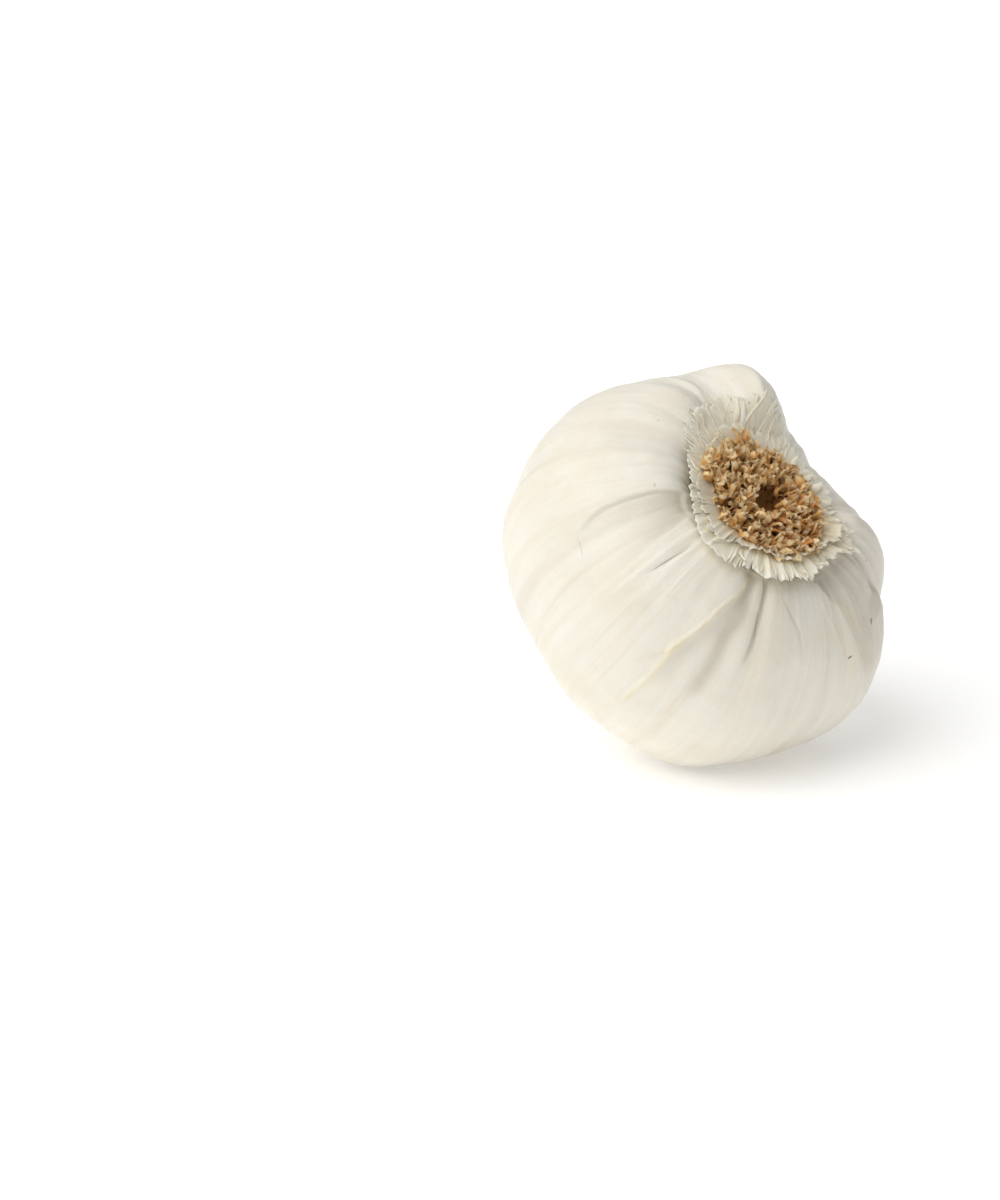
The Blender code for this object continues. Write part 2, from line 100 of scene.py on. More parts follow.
# Collar and root plate, as in the part's source.
# Inner edge of the collar by angle: it lies over the rim of the root plate.
COLLAR_EDGE = (
    (0, 8.3), (15, 8.8), (60, 9.0), (120, 9.0), (150, 8.5), (175, 8.1), (210, 7.9), (235, 8.4), (255, 8.9),
    (300, 8.9), (318, 8.7), (333, 7.8), (348, 7.9),
)
COLLAR_REACH = (
    (0, 14.4), (15, 16.2), (30, 16.0), (46, 15.0), (60, 15.5), (76, 14.5), (95, 13.8), (112, 13.6),
    (120, 13.5), (128, 15.1), (137, 15.3), (144, 13.6), (156, 12.4), (200, 12.0), (222, 14.6), (244, 17.8),
    (262, 18.4), (280, 16.2), (310, 13.2), (335, 12.4),
)
COLLAR_LIFT = (
    (0, 0.4), (30, 0.5), (56, 0.8), (90, 0.8), (116, 0.8), (132, 1.1), (148, 0.4), (165, 0.1), (200, 0.1),
    (250, 0.1), (300, 0.2), (330, 0.5),
)
COLLAR_BRIDGE = ((7.4, 17.85), (8.9, 17.65), (10.7, 17.9), (11.8, 18.05), (14.2, 18.1), (20.0, 18.1))
PLATE_R = 9.3
PLATE_BASE_H = 14.5
PLATE_RIM_H = 17.2
PLATE_TOP_H = 18.0
CRATER_AT = (-1.2, 0.6)
CRATER_R = 2.5
CRATER_DEEP = 1.3

# Fine skin mesh.
SKIN_COLUMNS = 470
SKIN_ROWS = 196


def even_degrees(count):
    """Angles of evenly spaced places round the axis."""
    return np.arange(count) * 360.0 / count


RING_DEG = even_degrees(RING)


def ramp(low, high, x):
    """Smooth step from 0 at low to 1 at high."""
    share = np.clip((x - low) / (high - low), 0.0, 1.0)
    return share * share * (3.0 - 2.0 * share)


def window(x, start, full, wane, end):
    """Smooth step up from start to full, and down again from wane to end."""
    return ramp(start, full, x) * (1.0 - ramp(wane, end, x))


def bell(x, width):
    """Bell curve of the given half width."""
    return np.exp(-((x / width) ** 2))


def fade(name, x):
    """Share from 0 to 1 of a form at the given height or radius."""
    return ramp(*FADES[name], x)


def blurred(ring, degrees):
    """A ring of values smoothed by a bell curve of the given width."""
    order = np.arange(RING // 2 + 1)
    spread = math.radians(degrees)
    return np.fft.irfft(np.fft.rfft(ring) * np.exp(-0.5 * (order * spread) ** 2), RING)


def by_angle(pairs, degrees):
    """Values through (angle, value) pairs round the axis."""
    table = np.array(pairs, float)
    return np.interp(degrees, table[:, 0], table[:, 1], period=360.0)


def ring_through(pairs, blur):
    """Ring of values through (angle, value) pairs, smoothed."""
    return blurred(by_angle(pairs, RING_DEG), blur)


def crease_ring(column, power, blur):
    """Depth of the creases by angle: a V at each, rounded up to the clove between two of them."""
    table = np.array(CREASES, float)
    at = np.r_[table[:, 0], table[0, 0] + 360.0]
    depth = np.r_[table[:, column], table[0, column]]
    angle = np.where(RING_DEG < at[0], RING_DEG + 360.0, RING_DEG)
    left = np.clip(np.searchsorted(at, angle, side="right") - 1, 0, len(at) - 2)
    width = at[left + 1] - at[left]
    share = (angle - at[left]) / width
    reach = np.minimum(1.0, CREASE_REACH_DEG / width)
    from_left = np.clip(1.0 - share / reach, 0.0, None) ** power
    from_right = np.clip(1.0 - (1.0 - share) / reach, 0.0, None) ** power
    return blurred(-(depth[left] * from_left + depth[left + 1] * from_right), blur)


FORM = {
    "girth": ring_through(GIRTH, 4.0) / EQUATOR_R,
    "crest": ring_through(CREST, 5.0),
    "root_crease": crease_ring(1, 2.6, 1.4),
    "side_crease": crease_ring(2, 2.2, 3.0),
    "reach": ring_through(COLLAR_REACH, 2.0),
    "lift": ring_through(COLLAR_LIFT, 5.0),
}


def form_at(name, degrees):
    """Value of one of the rings at the given angles."""
    return np.interp(degrees, RING_DEG, FORM[name], period=360.0)


def meridian(shares):
    """Points on a smooth curve through the meridian table."""
    points = np.array(MERIDIAN, float)
    chords = np.linalg.norm(np.diff(points, axis=0), axis=1)
    knots = np.r_[0.0, np.cumsum(np.sqrt(chords))]
    knots /= knots[-1]
    slope = np.gradient(points, knots, axis=0)
    j = np.clip(np.searchsorted(knots, shares, side="right") - 1, 0, len(points) - 2)
    span = (knots[j + 1] - knots[j])[:, None]
    t = (shares - knots[j])[:, None] / span
    return (
        (2 * t**3 - 3 * t**2 + 1) * points[j]
        + (t**3 - 2 * t**2 + t) * span * slope[j]
        + (3 * t**2 - 2 * t**3) * points[j + 1]
        + (t**3 - t**2) * span * slope[j + 1]
    )


def flake_rise(angle, h):
    """Height of the torn flake over the skin: it climbs slowly and drops at its far edges."""
    across = (angle - FLAKE_DEG) / FLAKE_HALF_DEG
    along = (h - FLAKE_H) / FLAKE_HALF_H
    return FLAKE_RISE * window(across, -1.6, 0.2, 0.8, 1.2) * window(along, -1.7, 0.0, 0.8, 1.1)


def skin_point_rows(shares, degrees):
    """Grid of local points of the skin: shares along the meridian, degrees round the axis."""
    line = meridian(shares)
    run = meridian(np.clip(shares + NUDGE, 0, 1)) - meridian(np.clip(shares - NUDGE, 0, 1))
    run /= np.linalg.norm(run, axis=1)[:, None]
    rho = line[:, :1]
    h = line[:, 1:]
    out_rho = -run[:, 1:]
    out_h = run[:, :1]
    angle = degrees[None, :]

    by_roots = fade("h_by_roots", h)
    push = form_at("root_crease", angle) * by_roots * fade("r_root_creases", rho)
    push = push + form_at("side_crease", angle) * (1.0 - by_roots) * fade("r_side_creases", rho)
    push = push + flake_rise(angle, h)
    pleat = sum(deep * np.cos(np.radians(angle) * n + turn) for n, deep, turn in NECK_PLEATS)
    pleat = pleat * (1.0 - fade("h_pleats", h))

    wider = 1.0 + (form_at("girth", angle) - 1.0) * fade("r_girth", rho)
    radius = rho * wider + out_rho * push + pleat
    height = h + form_at("crest", angle) * fade("h_crest", h) * fade("r_crest", rho) + out_h * push
    neck = 1.0 - fade("h_neck", height)
    turned = np.radians(angle + TWIST_DEG * neck)
    x = radius * np.cos(turned) - NECK_BEND * neck**1.5
    y = radius * np.sin(turned)
    return np.stack([x, y, height], -1)


def lean_matrix():
    """Rotation from the local frame to the pose in which the bulb lies."""
    axis = Vector(LEAN).normalized()
    across = axis.cross(Vector((0.0, 0.0, 1.0))).normalized()
    return Matrix((across, axis.cross(across), axis)).transposed()


TURN = np.array(lean_matrix())


def part_shift():
    """Place of the local origin in the part's frame, mm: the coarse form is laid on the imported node's box."""
    shares = np.linspace(0.0, 1.0, CAD_ROWS)
    coarse = skin_point_rows(shares, even_degrees(CAD_COLUMNS)).reshape(-1, 3) @ TURN.T
    high = np.array(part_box("bulb")[1]) / MM
    return high - coarse.max(axis=0)


SHIFT = part_shift()


def laid(points):
    """Local millimetres to metres in the part's frame."""
    return (np.asarray(points, float) @ TURN.T + SHIFT) * MM


# Helpers for meshes.


def even_turns(count):
    """Angles of evenly spaced places round a ring, in radians."""
    return np.arange(count) * 2.0 * math.pi / count


def ring_points(radius, turn, height):
    """Points from their radius, angle in radians and height."""
    return np.stack(np.broadcast_arrays(radius * np.cos(turn), radius * np.sin(turn), height), -1)


def grid_faces(rows, columns, offset=0, flip=False):
    """Quads between successive closed rings."""
    r, c = np.meshgrid(np.arange(rows - 1), np.arange(columns), indexing="ij")
    n = (c + 1) % columns
    quads = np.stack([r * columns + c, r * columns + n, (r + 1) * columns + n, (r + 1) * columns + c], -1)
    quads = quads.reshape(-1, 4) + offset
    return quads[:, ::-1] if flip else quads


def fan_faces(start, columns, centre, flip):
    """Triangles from a ring to one centre vertex."""
    c = np.arange(columns)
    trio = np.stack([start + c, start + (c + 1) % columns, np.full(columns, centre)], -1)
    return trio[:, ::-1] if flip else trio


def capped_faces(rows, columns, start=0, flip=False):
    """Quads between rings, with fans to the two centre vertices that follow the rings."""
    count = rows * columns
    return [
        grid_faces(rows, columns, start, flip),
        fan_faces(start, columns, start + count, not flip),
        fan_faces(start + count - columns, columns, start + count + 1, flip),
    ]


def mesh_object(name, vertices, faces, material, smooth=True):
    """Mesh object in metres from local millimetre vertices and lists of face arrays."""
    mesh = bpy.data.meshes.new(name)
    lists = [face for block in faces for face in np.asarray(block).tolist()]
    mesh.from_pydata(laid(vertices).tolist(), [], lists)
    made = bpy.data.objects.new(name, mesh)
    bpy.context.scene.collection.objects.link(made)
    mesh.materials.append(material)
    if smooth:
        mesh.shade_smooth()
    mesh.validate()
    mesh.update()
    return made


def add_attribute(made, name, values):
    """Number or vector per vertex."""
    values = np.asarray(values, dtype=np.float32)
    kind, slot = ("FLOAT", "value") if values.ndim == 1 else ("FLOAT_VECTOR", "vector")
    layer = made.data.attributes.new(name, kind, "POINT")
    layer.data.foreach_set(slot, values.ravel())


def waves(points, count, low, high, seed):
    """Smooth seamless noise, about -1 to 1: plane waves of random direction and length in mm."""
    rng = np.random.default_rng(seed)
    total = np.zeros(points.shape[:-1])
    for _ in range(count):
        direction = rng.normal(size=3)
        direction /= np.linalg.norm(direction)
        length = math.exp(rng.uniform(math.log(low), math.log(high)))
        total += np.sin(points @ direction * (2.0 * math.pi / length) + rng.uniform(0.0, 6.28))
    return total / math.sqrt(count * 0.5) * 0.5


def ring_noise(degrees, low, high, seed):
    """Seamless noise round the axis, about -1 to 1, with low to high ripples per turn."""
    rng = np.random.default_rng(seed)
    total = np.zeros_like(degrees, dtype=float)
    for n in range(low, high + 1):
        total += rng.normal() * np.cos(np.radians(degrees) * n + rng.uniform(0.0, 6.28))
    return total / math.sqrt(high - low + 1)


def angle_gap(a, b):
    """Signed difference of two angles in degrees, -180 to 180."""
    return (a - b + 180.0) % 360.0 - 180.0


# Lines on the skin that the photograph shows: places as (share along the meridian, angle).
FOLD_RIDGE = (
    (0.20, 47.5), (0.25, 46.0), (0.308, 39.5), (0.352, 36.5), (0.39, 33.5), (0.458, 33.0), (0.53, 31.0),
)
FOLD_FORK = ((0.37, 34.5), (0.39, 33.5), (0.432, 27.5), (0.46, 24.0))
FOLD_SIDE = ((0.20, 50.5), (0.25, 49.0), (0.308, 42.5), (0.352, 39.5), (0.39, 36.5), (0.458, 36.0))
GROOVE_WIDE = ((0.19, 48.0), (0.215, 48.5), (0.293, 50.5), (0.335, 47.0), (0.373, 47.5), (0.45, 46.0))
GROOVE_DARK = ((0.20, 57.5), (0.228, 57.5), (0.30, 57.0), (0.328, 57.0), (0.37, 56.0))
GROOVE_FAINT = ((0.24, 68.0), (0.265, 71.0), (0.303, 76.5), (0.34, 78.0))
WRINKLE = ((0.25, 11.8), (0.27, 11.5), (0.312, 10.5), (0.345, 9.0), (0.36, 8.5))
VEIN = ((0.26, 92.0), (0.285, 93.5), (0.313, 97.0), (0.347, 100.0), (0.38, 101.0))
DENT_RIM = ((0.415, 62.0), (0.43, 66.0), (0.44, 70.0))
DENT = ((0.43, 61.0), (0.45, 66.0), (0.46, 71.0))
SCRATCH = ((0.44, 44.0), (0.48, 43.0), (0.52, 41.0))
STAIN = ((0.262, 101.0), (0.29, 105.0), (0.325, 108.5))
FLAKE_CRACK = ((0.235, 133.0), (0.27, 131.5), (0.31, 130.0), (0.35, 131.0), (0.39, 135.0))
FLANK_EDGE = ((0.19, 90.0), (0.207, 92.5), (0.243, 98.0), (0.273, 103.5), (0.34, 107.0), (0.42, 109.0))
PANEL_EDGE = ((0.20, 356.0), (0.247, 358.5), (0.302, 361.0), (0.36, 363.0), (0.45, 363.0))
CREASE_ARC = (
    (0.185, 338.5), (0.211, 338.2), (0.262, 337.2), (0.30, 337.5), (0.357, 338.5), (0.381, 340.0),
    (0.41, 343.0),
)
TORN_EDGE = ((0.395, 342.0), (0.415, 342.5), (0.417, 346.5), (0.413, 351.0), (0.40, 352.5))
# Share of the meridian where that edge lies, and the meridian's length in mm.
TORN_EDGE_SHARE = 0.414
SKIN_RUN = 88.0
# What the lines do: line, half width in mm, then height in mm, or strength of the tint.
RELIEF_LINES = (
    (FOLD_RIDGE, 0.36, 0.42), (FOLD_FORK, 0.28, 0.26), (FOLD_SIDE, 0.8, -0.16), (GROOVE_WIDE, 0.9, -0.34),
    (GROOVE_DARK, 0.36, -0.34), (GROOVE_FAINT, 0.32, -0.18), (WRINKLE, 0.24, -0.22), (VEIN, 0.35, 0.10),
    (DENT_RIM, 0.55, 0.20), (DENT, 0.6, -0.18), (SCRATCH, 0.2, -0.10), (FLAKE_CRACK, 0.42, -0.30),
)
# Painted shade along the grooves, the wrinkle, the fold's side and the flake's crack.
PAINTED_SHADE_LINES = (
    (GROOVE_WIDE, 1.5, 0.7), (GROOVE_DARK, 0.45, 0.9), (GROOVE_FAINT, 0.3, 0.5), (WRINKLE, 0.22, 0.45),
    (FOLD_SIDE, 1.6, 0.45), (FLAKE_CRACK, 0.55, 0.5),
)
WARM_LINES = (
    (FOLD_RIDGE, 0.55, 0.75), (FOLD_FORK, 0.5, 0.5), (VEIN, 0.7, 0.35), (SCRATCH, 0.22, 0.5),
    (STAIN, 1.0, 0.45),
)
# Least radius at which the fine relief is worked out, mm.
RELIEF_LEAST_R = 4.0


def path_offset(path, shares, degrees, rho):
    """Sideways distance in mm from a line on the skin, and whether a row is within its ends."""
    table = np.array(path, float)
    unwrapped = np.degrees(np.unwrap(np.radians(table[:, 1])))
    centre = np.interp(shares, table[:, 0], unwrapped)
    gap = angle_gap(degrees[None, :], centre[:, None])
    first, last = table[0, 0], table[-1, 0]
    inside = window(shares, first - 0.012, first + 0.02, last - 0.04, last + 0.01)
    return np.radians(gap) * rho, inside[:, None]


def drawn(lines, shares, degrees, rho):
    """Sum of ridges along lines on the skin."""
    total = np.zeros_like(rho)
    for path, width, height in lines:
        x, inside = path_offset(path, shares, degrees, rho)
        total += height * bell(x, width) * inside
    return total


def settled(x, settle):
    """1 up to x = 0, sinking away over settle beyond it."""
    return np.exp(-np.clip(x, 0.0, None) / settle)


def layer_edge(x, width, settle):
    """Edge of an overlapping layer at x = 0: full height just beyond it, sinking away over settle."""
    return ramp(-width, width, x) * settled(x, settle)


def pleat_relief(s, angle, base):
    """Lengthwise pleats in mm: faint on the cloves, stronger towards the roots and the neck."""
    near_roots = 1.0 - ramp(0.16, 0.36, s)
    near_neck = ramp(0.62, 0.86, s)
    sway = 1.6 * waves(base * 0.35, 6, 5.0, 9.0, 8)
    fine = ring_noise(angle + sway, 22, 60, 11)
    broad = ring_noise(angle + sway * 1.4, 9, 24, 12)
    sharp = 0.5 - np.abs(ring_noise(angle + sway * 0.8, 16, 40, 13))
    relief = fine * (0.018 + 0.05 * near_roots + 0.10 * near_neck)
    relief += broad * (0.06 + 0.08 * near_roots + 0.10 * near_neck)
    relief += sharp * (0.05 + 0.13 * near_roots + 0.12 * near_neck)
    return relief


def dip_fill(s, angle):
    """Skin stretched over the dip beside the full clove, mm."""
    stretch = 0.3 * bell(angle_gap(angle, 277.0), 8.0) + 0.8 * bell(angle_gap(angle, 264.0), 4.5)
    return stretch * window(s, 0.22, 0.29, 0.28, 0.42)


def layer_marks(shares, degrees, rho):
    """Relief in mm, and painted shade, where one layer of skin ends on another."""
    s = shares[:, None]

    # Edge of the layer that covers the right flank, with painted shadow on the flank beyond it, fading over 16
    # mm.
    x, inside = path_offset(FLANK_EDGE, shares, degrees, rho)
    relief = -0.30 * layer_edge(x, 0.3, 4.5) * inside
    flank_painted_shadow = ramp(-0.2, 0.8, x) * settled(x, 16.0) * inside
    painted_shade = 0.75 * flank_painted_shadow * (1.0 - ramp(0.34, 0.52, s))

    # Far edge of the sunken panel, with a band of painted shade along it.
    x, inside = path_offset(PANEL_EDGE, shares, degrees, rho)
    relief += 0.30 * layer_edge(x, 0.3, 5.0) * inside
    beside_painted_shade = 0.25 * ramp(0.0, -2.0, x) * bell(x, 4.0) + 0.35 * bell(x, 1.3)
    painted_shade += beside_painted_shade * inside * (1.0 - ramp(0.30, 0.44, s))
    before_edge = 1.0 - ramp(-1.6, 0.4, x)

    # The crease that starts at the collar, and the panel between it and that edge: painted shade in the panel,
    # strongest by the collar, and a thin painted dark line in the crease.
    x, inside = path_offset(CREASE_ARC, shares, degrees, rho)
    panel_painted_shade = ramp(-0.15, 0.35, x) * before_edge * inside
    relief -= 0.50 * layer_edge(x, 0.22, 4.5) * inside * (1.0 - 0.6 * ramp(0.30, 0.42, s))
    painted_shade += panel_painted_shade * (0.62 - 0.50 * ramp(0.22, 0.40, s)) + 0.35 * bell(x, 0.3) * inside

    # The torn edge of an outer layer, across the left clove.
    x = path_offset(TORN_EDGE, shares, degrees, rho)[0]
    along = (s - TORN_EDGE_SHARE) * SKIN_RUN
    relief += 0.22 * bell(x, 2.2) * ramp(-0.25, 0.25, along) * settled(along, 3.0)
    return relief, painted_shade


def skin_relief(shares, degrees, base):
    """Fine height of the skin in mm, and masks for its colour: painted shade of grooves, creases and the flank,
    and a warm tint.
    """
    rho = np.maximum(np.hypot(base[..., 0], base[..., 1]), RELIEF_LEAST_R)
    s = shares[:, None]
    angle = degrees[None, :]
    edges, edge_painted_shade = layer_marks(shares, degrees, rho)
    relief = 0.16 * waves(base * np.array([1.0, 1.0, 0.6]), 26, 8.0, 20.0, 3)
    relief += 0.05 * waves(base, 26, 3.0, 7.0, 4)
    relief += pleat_relief(s, angle, base) + dip_fill(s, angle)
    relief += drawn(RELIEF_LINES, shares, degrees, rho) + edges
    painted_shade = drawn(PAINTED_SHADE_LINES, shares, degrees, rho) + edge_painted_shade
    warm = np.clip(drawn(WARM_LINES, shares, degrees, rho), 0.0, 1.0)
    return relief, painted_shade, warm


def normals_of(grid):
    """Unit normals of a grid of points that closes round its second axis, facing out."""
    along = np.gradient(grid, axis=0)
    around = np.roll(grid, -1, axis=1) - np.roll(grid, 1, axis=1)
    normal = np.cross(around, along)
    normal /= np.maximum(np.linalg.norm(normal, axis=-1), 1e-9)[..., None]
    middle = grid.reshape(-1, 3).mean(axis=0)
    if np.sum(normal * (grid - middle)) < 0.0:
        normal = -normal
    return normal


# Materials.


def new_material(name):
    """Material with a Principled shader. Gives the material, its node tree and the shader."""
    made = bpy.data.materials.new(name)
    made.use_nodes = True
    return made, made.node_tree, made.node_tree.nodes["Principled BSDF"]


def new_node(tree, kind, values):
    """Node with fixed values on some of its inputs."""
    node = tree.nodes.new("ShaderNode" + kind)
    set_inputs(node, values)
    return node


def set_inputs(node, values):
    """Fixed values on a node's own sockets."""
    for name, value in values.items():
        node.inputs[name].default_value = value


def attribute(tree, name, output="Fac"):
    """Number or vector that the mesh carries at each vertex."""
    node = new_node(tree, "Attribute", {})
    node.attribute_name = name
    return node.outputs[output]


def noise(tree, vector, scale, detail=4.0, rough=0.6):
    """Noise over a vector."""
    node = new_node(tree, "TexNoise", {"Scale": scale, "Detail": detail, "Roughness": rough})
    tree.links.new(vector, node.inputs["Vector"])
    return node.outputs["Fac"]


def mapped(tree, value, low, high, to_low, to_high):
    """Value carried smoothly from one range to another, clamped."""
    ends = {"From Min": low, "From Max": high, "To Min": to_low, "To Max": to_high}
    node = new_node(tree, "MapRange", ends)
    node.interpolation_type = "SMOOTHSTEP"
    tree.links.new(value, node.inputs["Value"])
    return node.outputs["Result"]


def mixed(tree, share, first, second):
    """Blend of two colours: the first a colour or a socket, the second a colour, the share a socket."""
    node = new_node(tree, "Mix", {})
    node.data_type = "RGBA"
    tree.links.new(share, node.inputs["Factor"])
    sockets = {i.name: i for i in node.inputs if i.type == "RGBA"}
    sockets["B"].default_value = (*second, 1.0)
    if isinstance(first, tuple):
        sockets["A"].default_value = (*first, 1.0)
    else:
        tree.links.new(first, sockets["A"])
    return next(o for o in node.outputs if o.type == "RGBA")


def tinted(tree, colour, layers):
    """Colour with tints over it. Each layer: value, its range, the tint's strength at both ends, the tint."""
    for value, low, high, to_low, to_high, tint in layers:
        colour = mixed(tree, mapped(tree, value, low, high, to_low, to_high), colour, tint)
    return colour


def bumped(tree, shader, height, distance, strength, before=None):
    """Bump on the shader's normal, over an earlier bump if one is given."""
    node = new_node(tree, "Bump", {"Strength": strength, "Distance": distance})
    tree.links.new(height, node.inputs["Height"])
    if before is not None:
        tree.links.new(before, node.inputs["Normal"])
    tree.links.new(node.outputs["Normal"], shader.inputs["Normal"])
    return node.outputs["Normal"]


def vector_maths(tree, operation, first, second=None, output="Vector"):
    """Operation on a vector socket and, where it takes two, a fixed vector."""
    node = new_node(tree, "VectorMath", {})
    node.operation = operation
    tree.links.new(first, node.inputs[0])
    if second is not None:
        node.inputs[1].default_value = tuple(second)
    return node.outputs[output]


SKIN_LIGHT = (0.875, 0.835, 0.74)
SKIN_CREAM = (0.82, 0.755, 0.62)
SKIN_TAN = (0.66, 0.53, 0.36)
SKIN_YELLOW = (0.84, 0.73, 0.48)
SKIN_GREY = (0.70, 0.675, 0.60)
SKIN_PINK = (0.76, 0.67, 0.555)
# Painted shade: grey-brown mixed into the skin along grooves and creases, in the sunken panel and on the
# shadowed right flank.
PAINTED_SHADE_GREY = (0.52, 0.45, 0.35)
SPECK_BROWN = (0.15, 0.095, 0.045)
# How far the cool streaks are moved in the grain, so that they aren't the wide ones again.
COOL_MOVE = (40.0, 0.0, 9.0)
# Small dark marks: share along the meridian, angle, half length and half width in mm, slant of the length
# for the viewer in degrees, strength.
MARKS = (
    (0.360, 103.0, 0.46, 0.16, 22.0, 1.0), (0.328, 117.5, 0.62, 0.24, 84.0, 0.55),
    (0.287, 136.0, 0.20, 0.14, 60.0, 0.5), (0.295, 125.0, 0.24, 0.13, 80.0, 0.5),
    (0.262, 334.5, 0.42, 0.12, 82.0, 0.35), (0.411, 346.3, 1.9, 0.07, -66.0, 0.30),
    (0.315, 129.0, 1.3, 0.10, 96.0, 0.35), (0.268, 295.5, 0.25, 0.12, 10.0, 0.30),
    (0.225, 289.0, 0.5, 0.11, -25.0, 0.40), (0.406, 305.5, 0.2, 0.14, 30.0, 0.25),
    (0.306, 10.5, 3.3, 0.10, 33.0, 0.5), (0.30, 57.0, 2.6, 0.09, 81.0, 0.45),
    (0.55, 190.0, 0.4, 0.25, 0.0, 0.5), (0.62, 250.0, 0.3, 0.2, 40.0, 0.4),
)
# Half depth of a mark across the skin, mm, and the share of a mark's size where its edge starts and ends.
MARK_DEEP = 2.5
MARK_EDGE = (0.55, 1.15)


def mark_axes(share, angle, slant):
    """Middle of a mark, and its directions along, aside and out of the skin."""
    step = np.array([-1.0, 0.0, 1.0])
    near = skin_point_rows(share + 0.004 * step, angle + 0.5 * step)
    normal = np.cross(near[1, 2] - near[1, 0], near[2, 1] - near[0, 1])
    normal /= np.linalg.norm(normal)
    elevation = math.radians(CAMERA_EL_DEG)
    tilt = math.radians(slant)
    up = np.array([0.0, math.sin(elevation), math.cos(elevation)])
    along = TURN.T @ (np.array([1.0, 0.0, 0.0]) * math.cos(tilt) + up * math.sin(tilt))
    along = along - normal * (along @ normal)
    along /= np.linalg.norm(along)
    return near[1, 1], along, np.cross(normal, along), normal


def mark_mask(tree, place, share, angle, long, short, slant, strength):
    """Strength of a small mark at every place of the skin."""
    centre, along, aside, normal = mark_axes(share, angle, slant)
    away = vector_maths(tree, "SUBTRACT", place, centre)
    parts = new_node(tree, "CombineXYZ", {})
    for slot, axis in enumerate((along / long, aside / short, normal / MARK_DEEP)):
        tree.links.new(vector_maths(tree, "DOT_PRODUCT", away, axis, "Value"), parts.inputs[slot])
    far = vector_maths(tree, "LENGTH", parts.outputs["Vector"], output="Value")
    return mapped(tree, far, *MARK_EDGE, strength, 0.0)


def skin_material():
    """Dry, satin garlic skin: warm white with lengthwise fibres, faint tan and pink streaks and specks, with
    painted shade mixed in along grooves, creases and the shadowed flank.
    """
    made, tree, shader = new_material("garlic_skin")
    grain = attribute(tree, "grain", "Vector")
    place = attribute(tree, "place", "Vector")
    moved = new_node(tree, "Mapping", {"Location": COOL_MOVE})
    tree.links.new(grain, moved.inputs["Vector"])
    streak = noise(tree, grain, 0.62, 5.0)
    fibre = noise(tree, grain, 2.6, 5.0, 0.65)
    colour = tinted(tree, SKIN_LIGHT, (
        (streak, 0.46, 0.74, 0.0, 0.6, SKIN_CREAM),
        (noise(tree, grain, 0.15, 3.0, 0.5), 0.50, 0.72, 0.0, 0.5, SKIN_PINK),
        (noise(tree, moved.outputs["Vector"], 0.22, 4.0, 0.55), 0.50, 0.74, 0.0, 0.5, SKIN_GREY),
        (noise(tree, place, 0.075, 3.0, 0.5), 0.48, 0.70, 0.0, 0.5, SKIN_CREAM),
        (noise(tree, place, 0.35), 0.55, 0.8, 0.0, 0.25, SKIN_PINK),
        (fibre, 0.62, 0.80, 0.0, 0.35, SKIN_TAN),
        (attribute(tree, "warm"), 0.0, 1.0, 0.0, 0.6, SKIN_YELLOW),
        (attribute(tree, "painted_shade"), 0.0, 1.0, 0.0, 0.55, PAINTED_SHADE_GREY),
    ))
    for mark in MARKS:
        colour = mixed(tree, mark_mask(tree, place, *mark), colour, SPECK_BROWN)
    tree.links.new(colour, shader.inputs["Base Color"])
    tree.links.new(mapped(tree, streak, 0.3, 0.7, 0.33, 0.48), shader.inputs["Roughness"])
    set_inputs(shader, {
        "Subsurface Weight": 0.22,
        "Subsurface Radius": (1.0, 0.75, 0.5),
        "Subsurface Scale": 0.0025,
        "Specular IOR Level": 0.5,
    })
    broad = bumped(tree, shader, streak, 0.00022, 0.6)
    fine = bumped(tree, shader, fibre, 0.00006, 0.6, broad)
    bumped(tree, shader, noise(tree, place, 0.5), 0.0004, 0.4, fine)
    return made


# Where the collar is greyer, where it is browner and where it lies on the full clove, by angle.
GREY_ZONE = (
    (0, 0.75), (20, 0.4), (40, 0.1), (60, 0.0), (180, 0.0), (205, 0.2), (228, 0.2), (245, 0.0), (320, 0.05),
    (338, 0.75),
)
TAN_ZONE = (
    (0, 0.0), (100, 0.1), (118, 0.5), (135, 0.6), (150, 0.3), (170, 0.1), (235, 0.1), (256, 0.2), (275, 0.0),
)
HUMP_ZONE = ((190, 0.0), (215, 0.8), (235, 1.0), (300, 1.0), (325, 0.4), (340, 0.0))
COLLAR_FOOT = (0.88, 0.70, 0.42)
COLLAR_CREAM = (0.98, 0.905, 0.72)
COLLAR_STREAK = (0.84, 0.71, 0.44)
COLLAR_BAND = (0.90, 0.82, 0.58)
COLLAR_TAN = (0.87, 0.72, 0.50)
COLLAR_GREY = (0.80, 0.74, 0.57)
COLLAR_FOLD_SHADE = (0.72, 0.64, 0.42)
COLLAR_HUMP = (0.94, 0.86, 0.65)
COLLAR_TIP = (0.97, 0.93, 0.80)


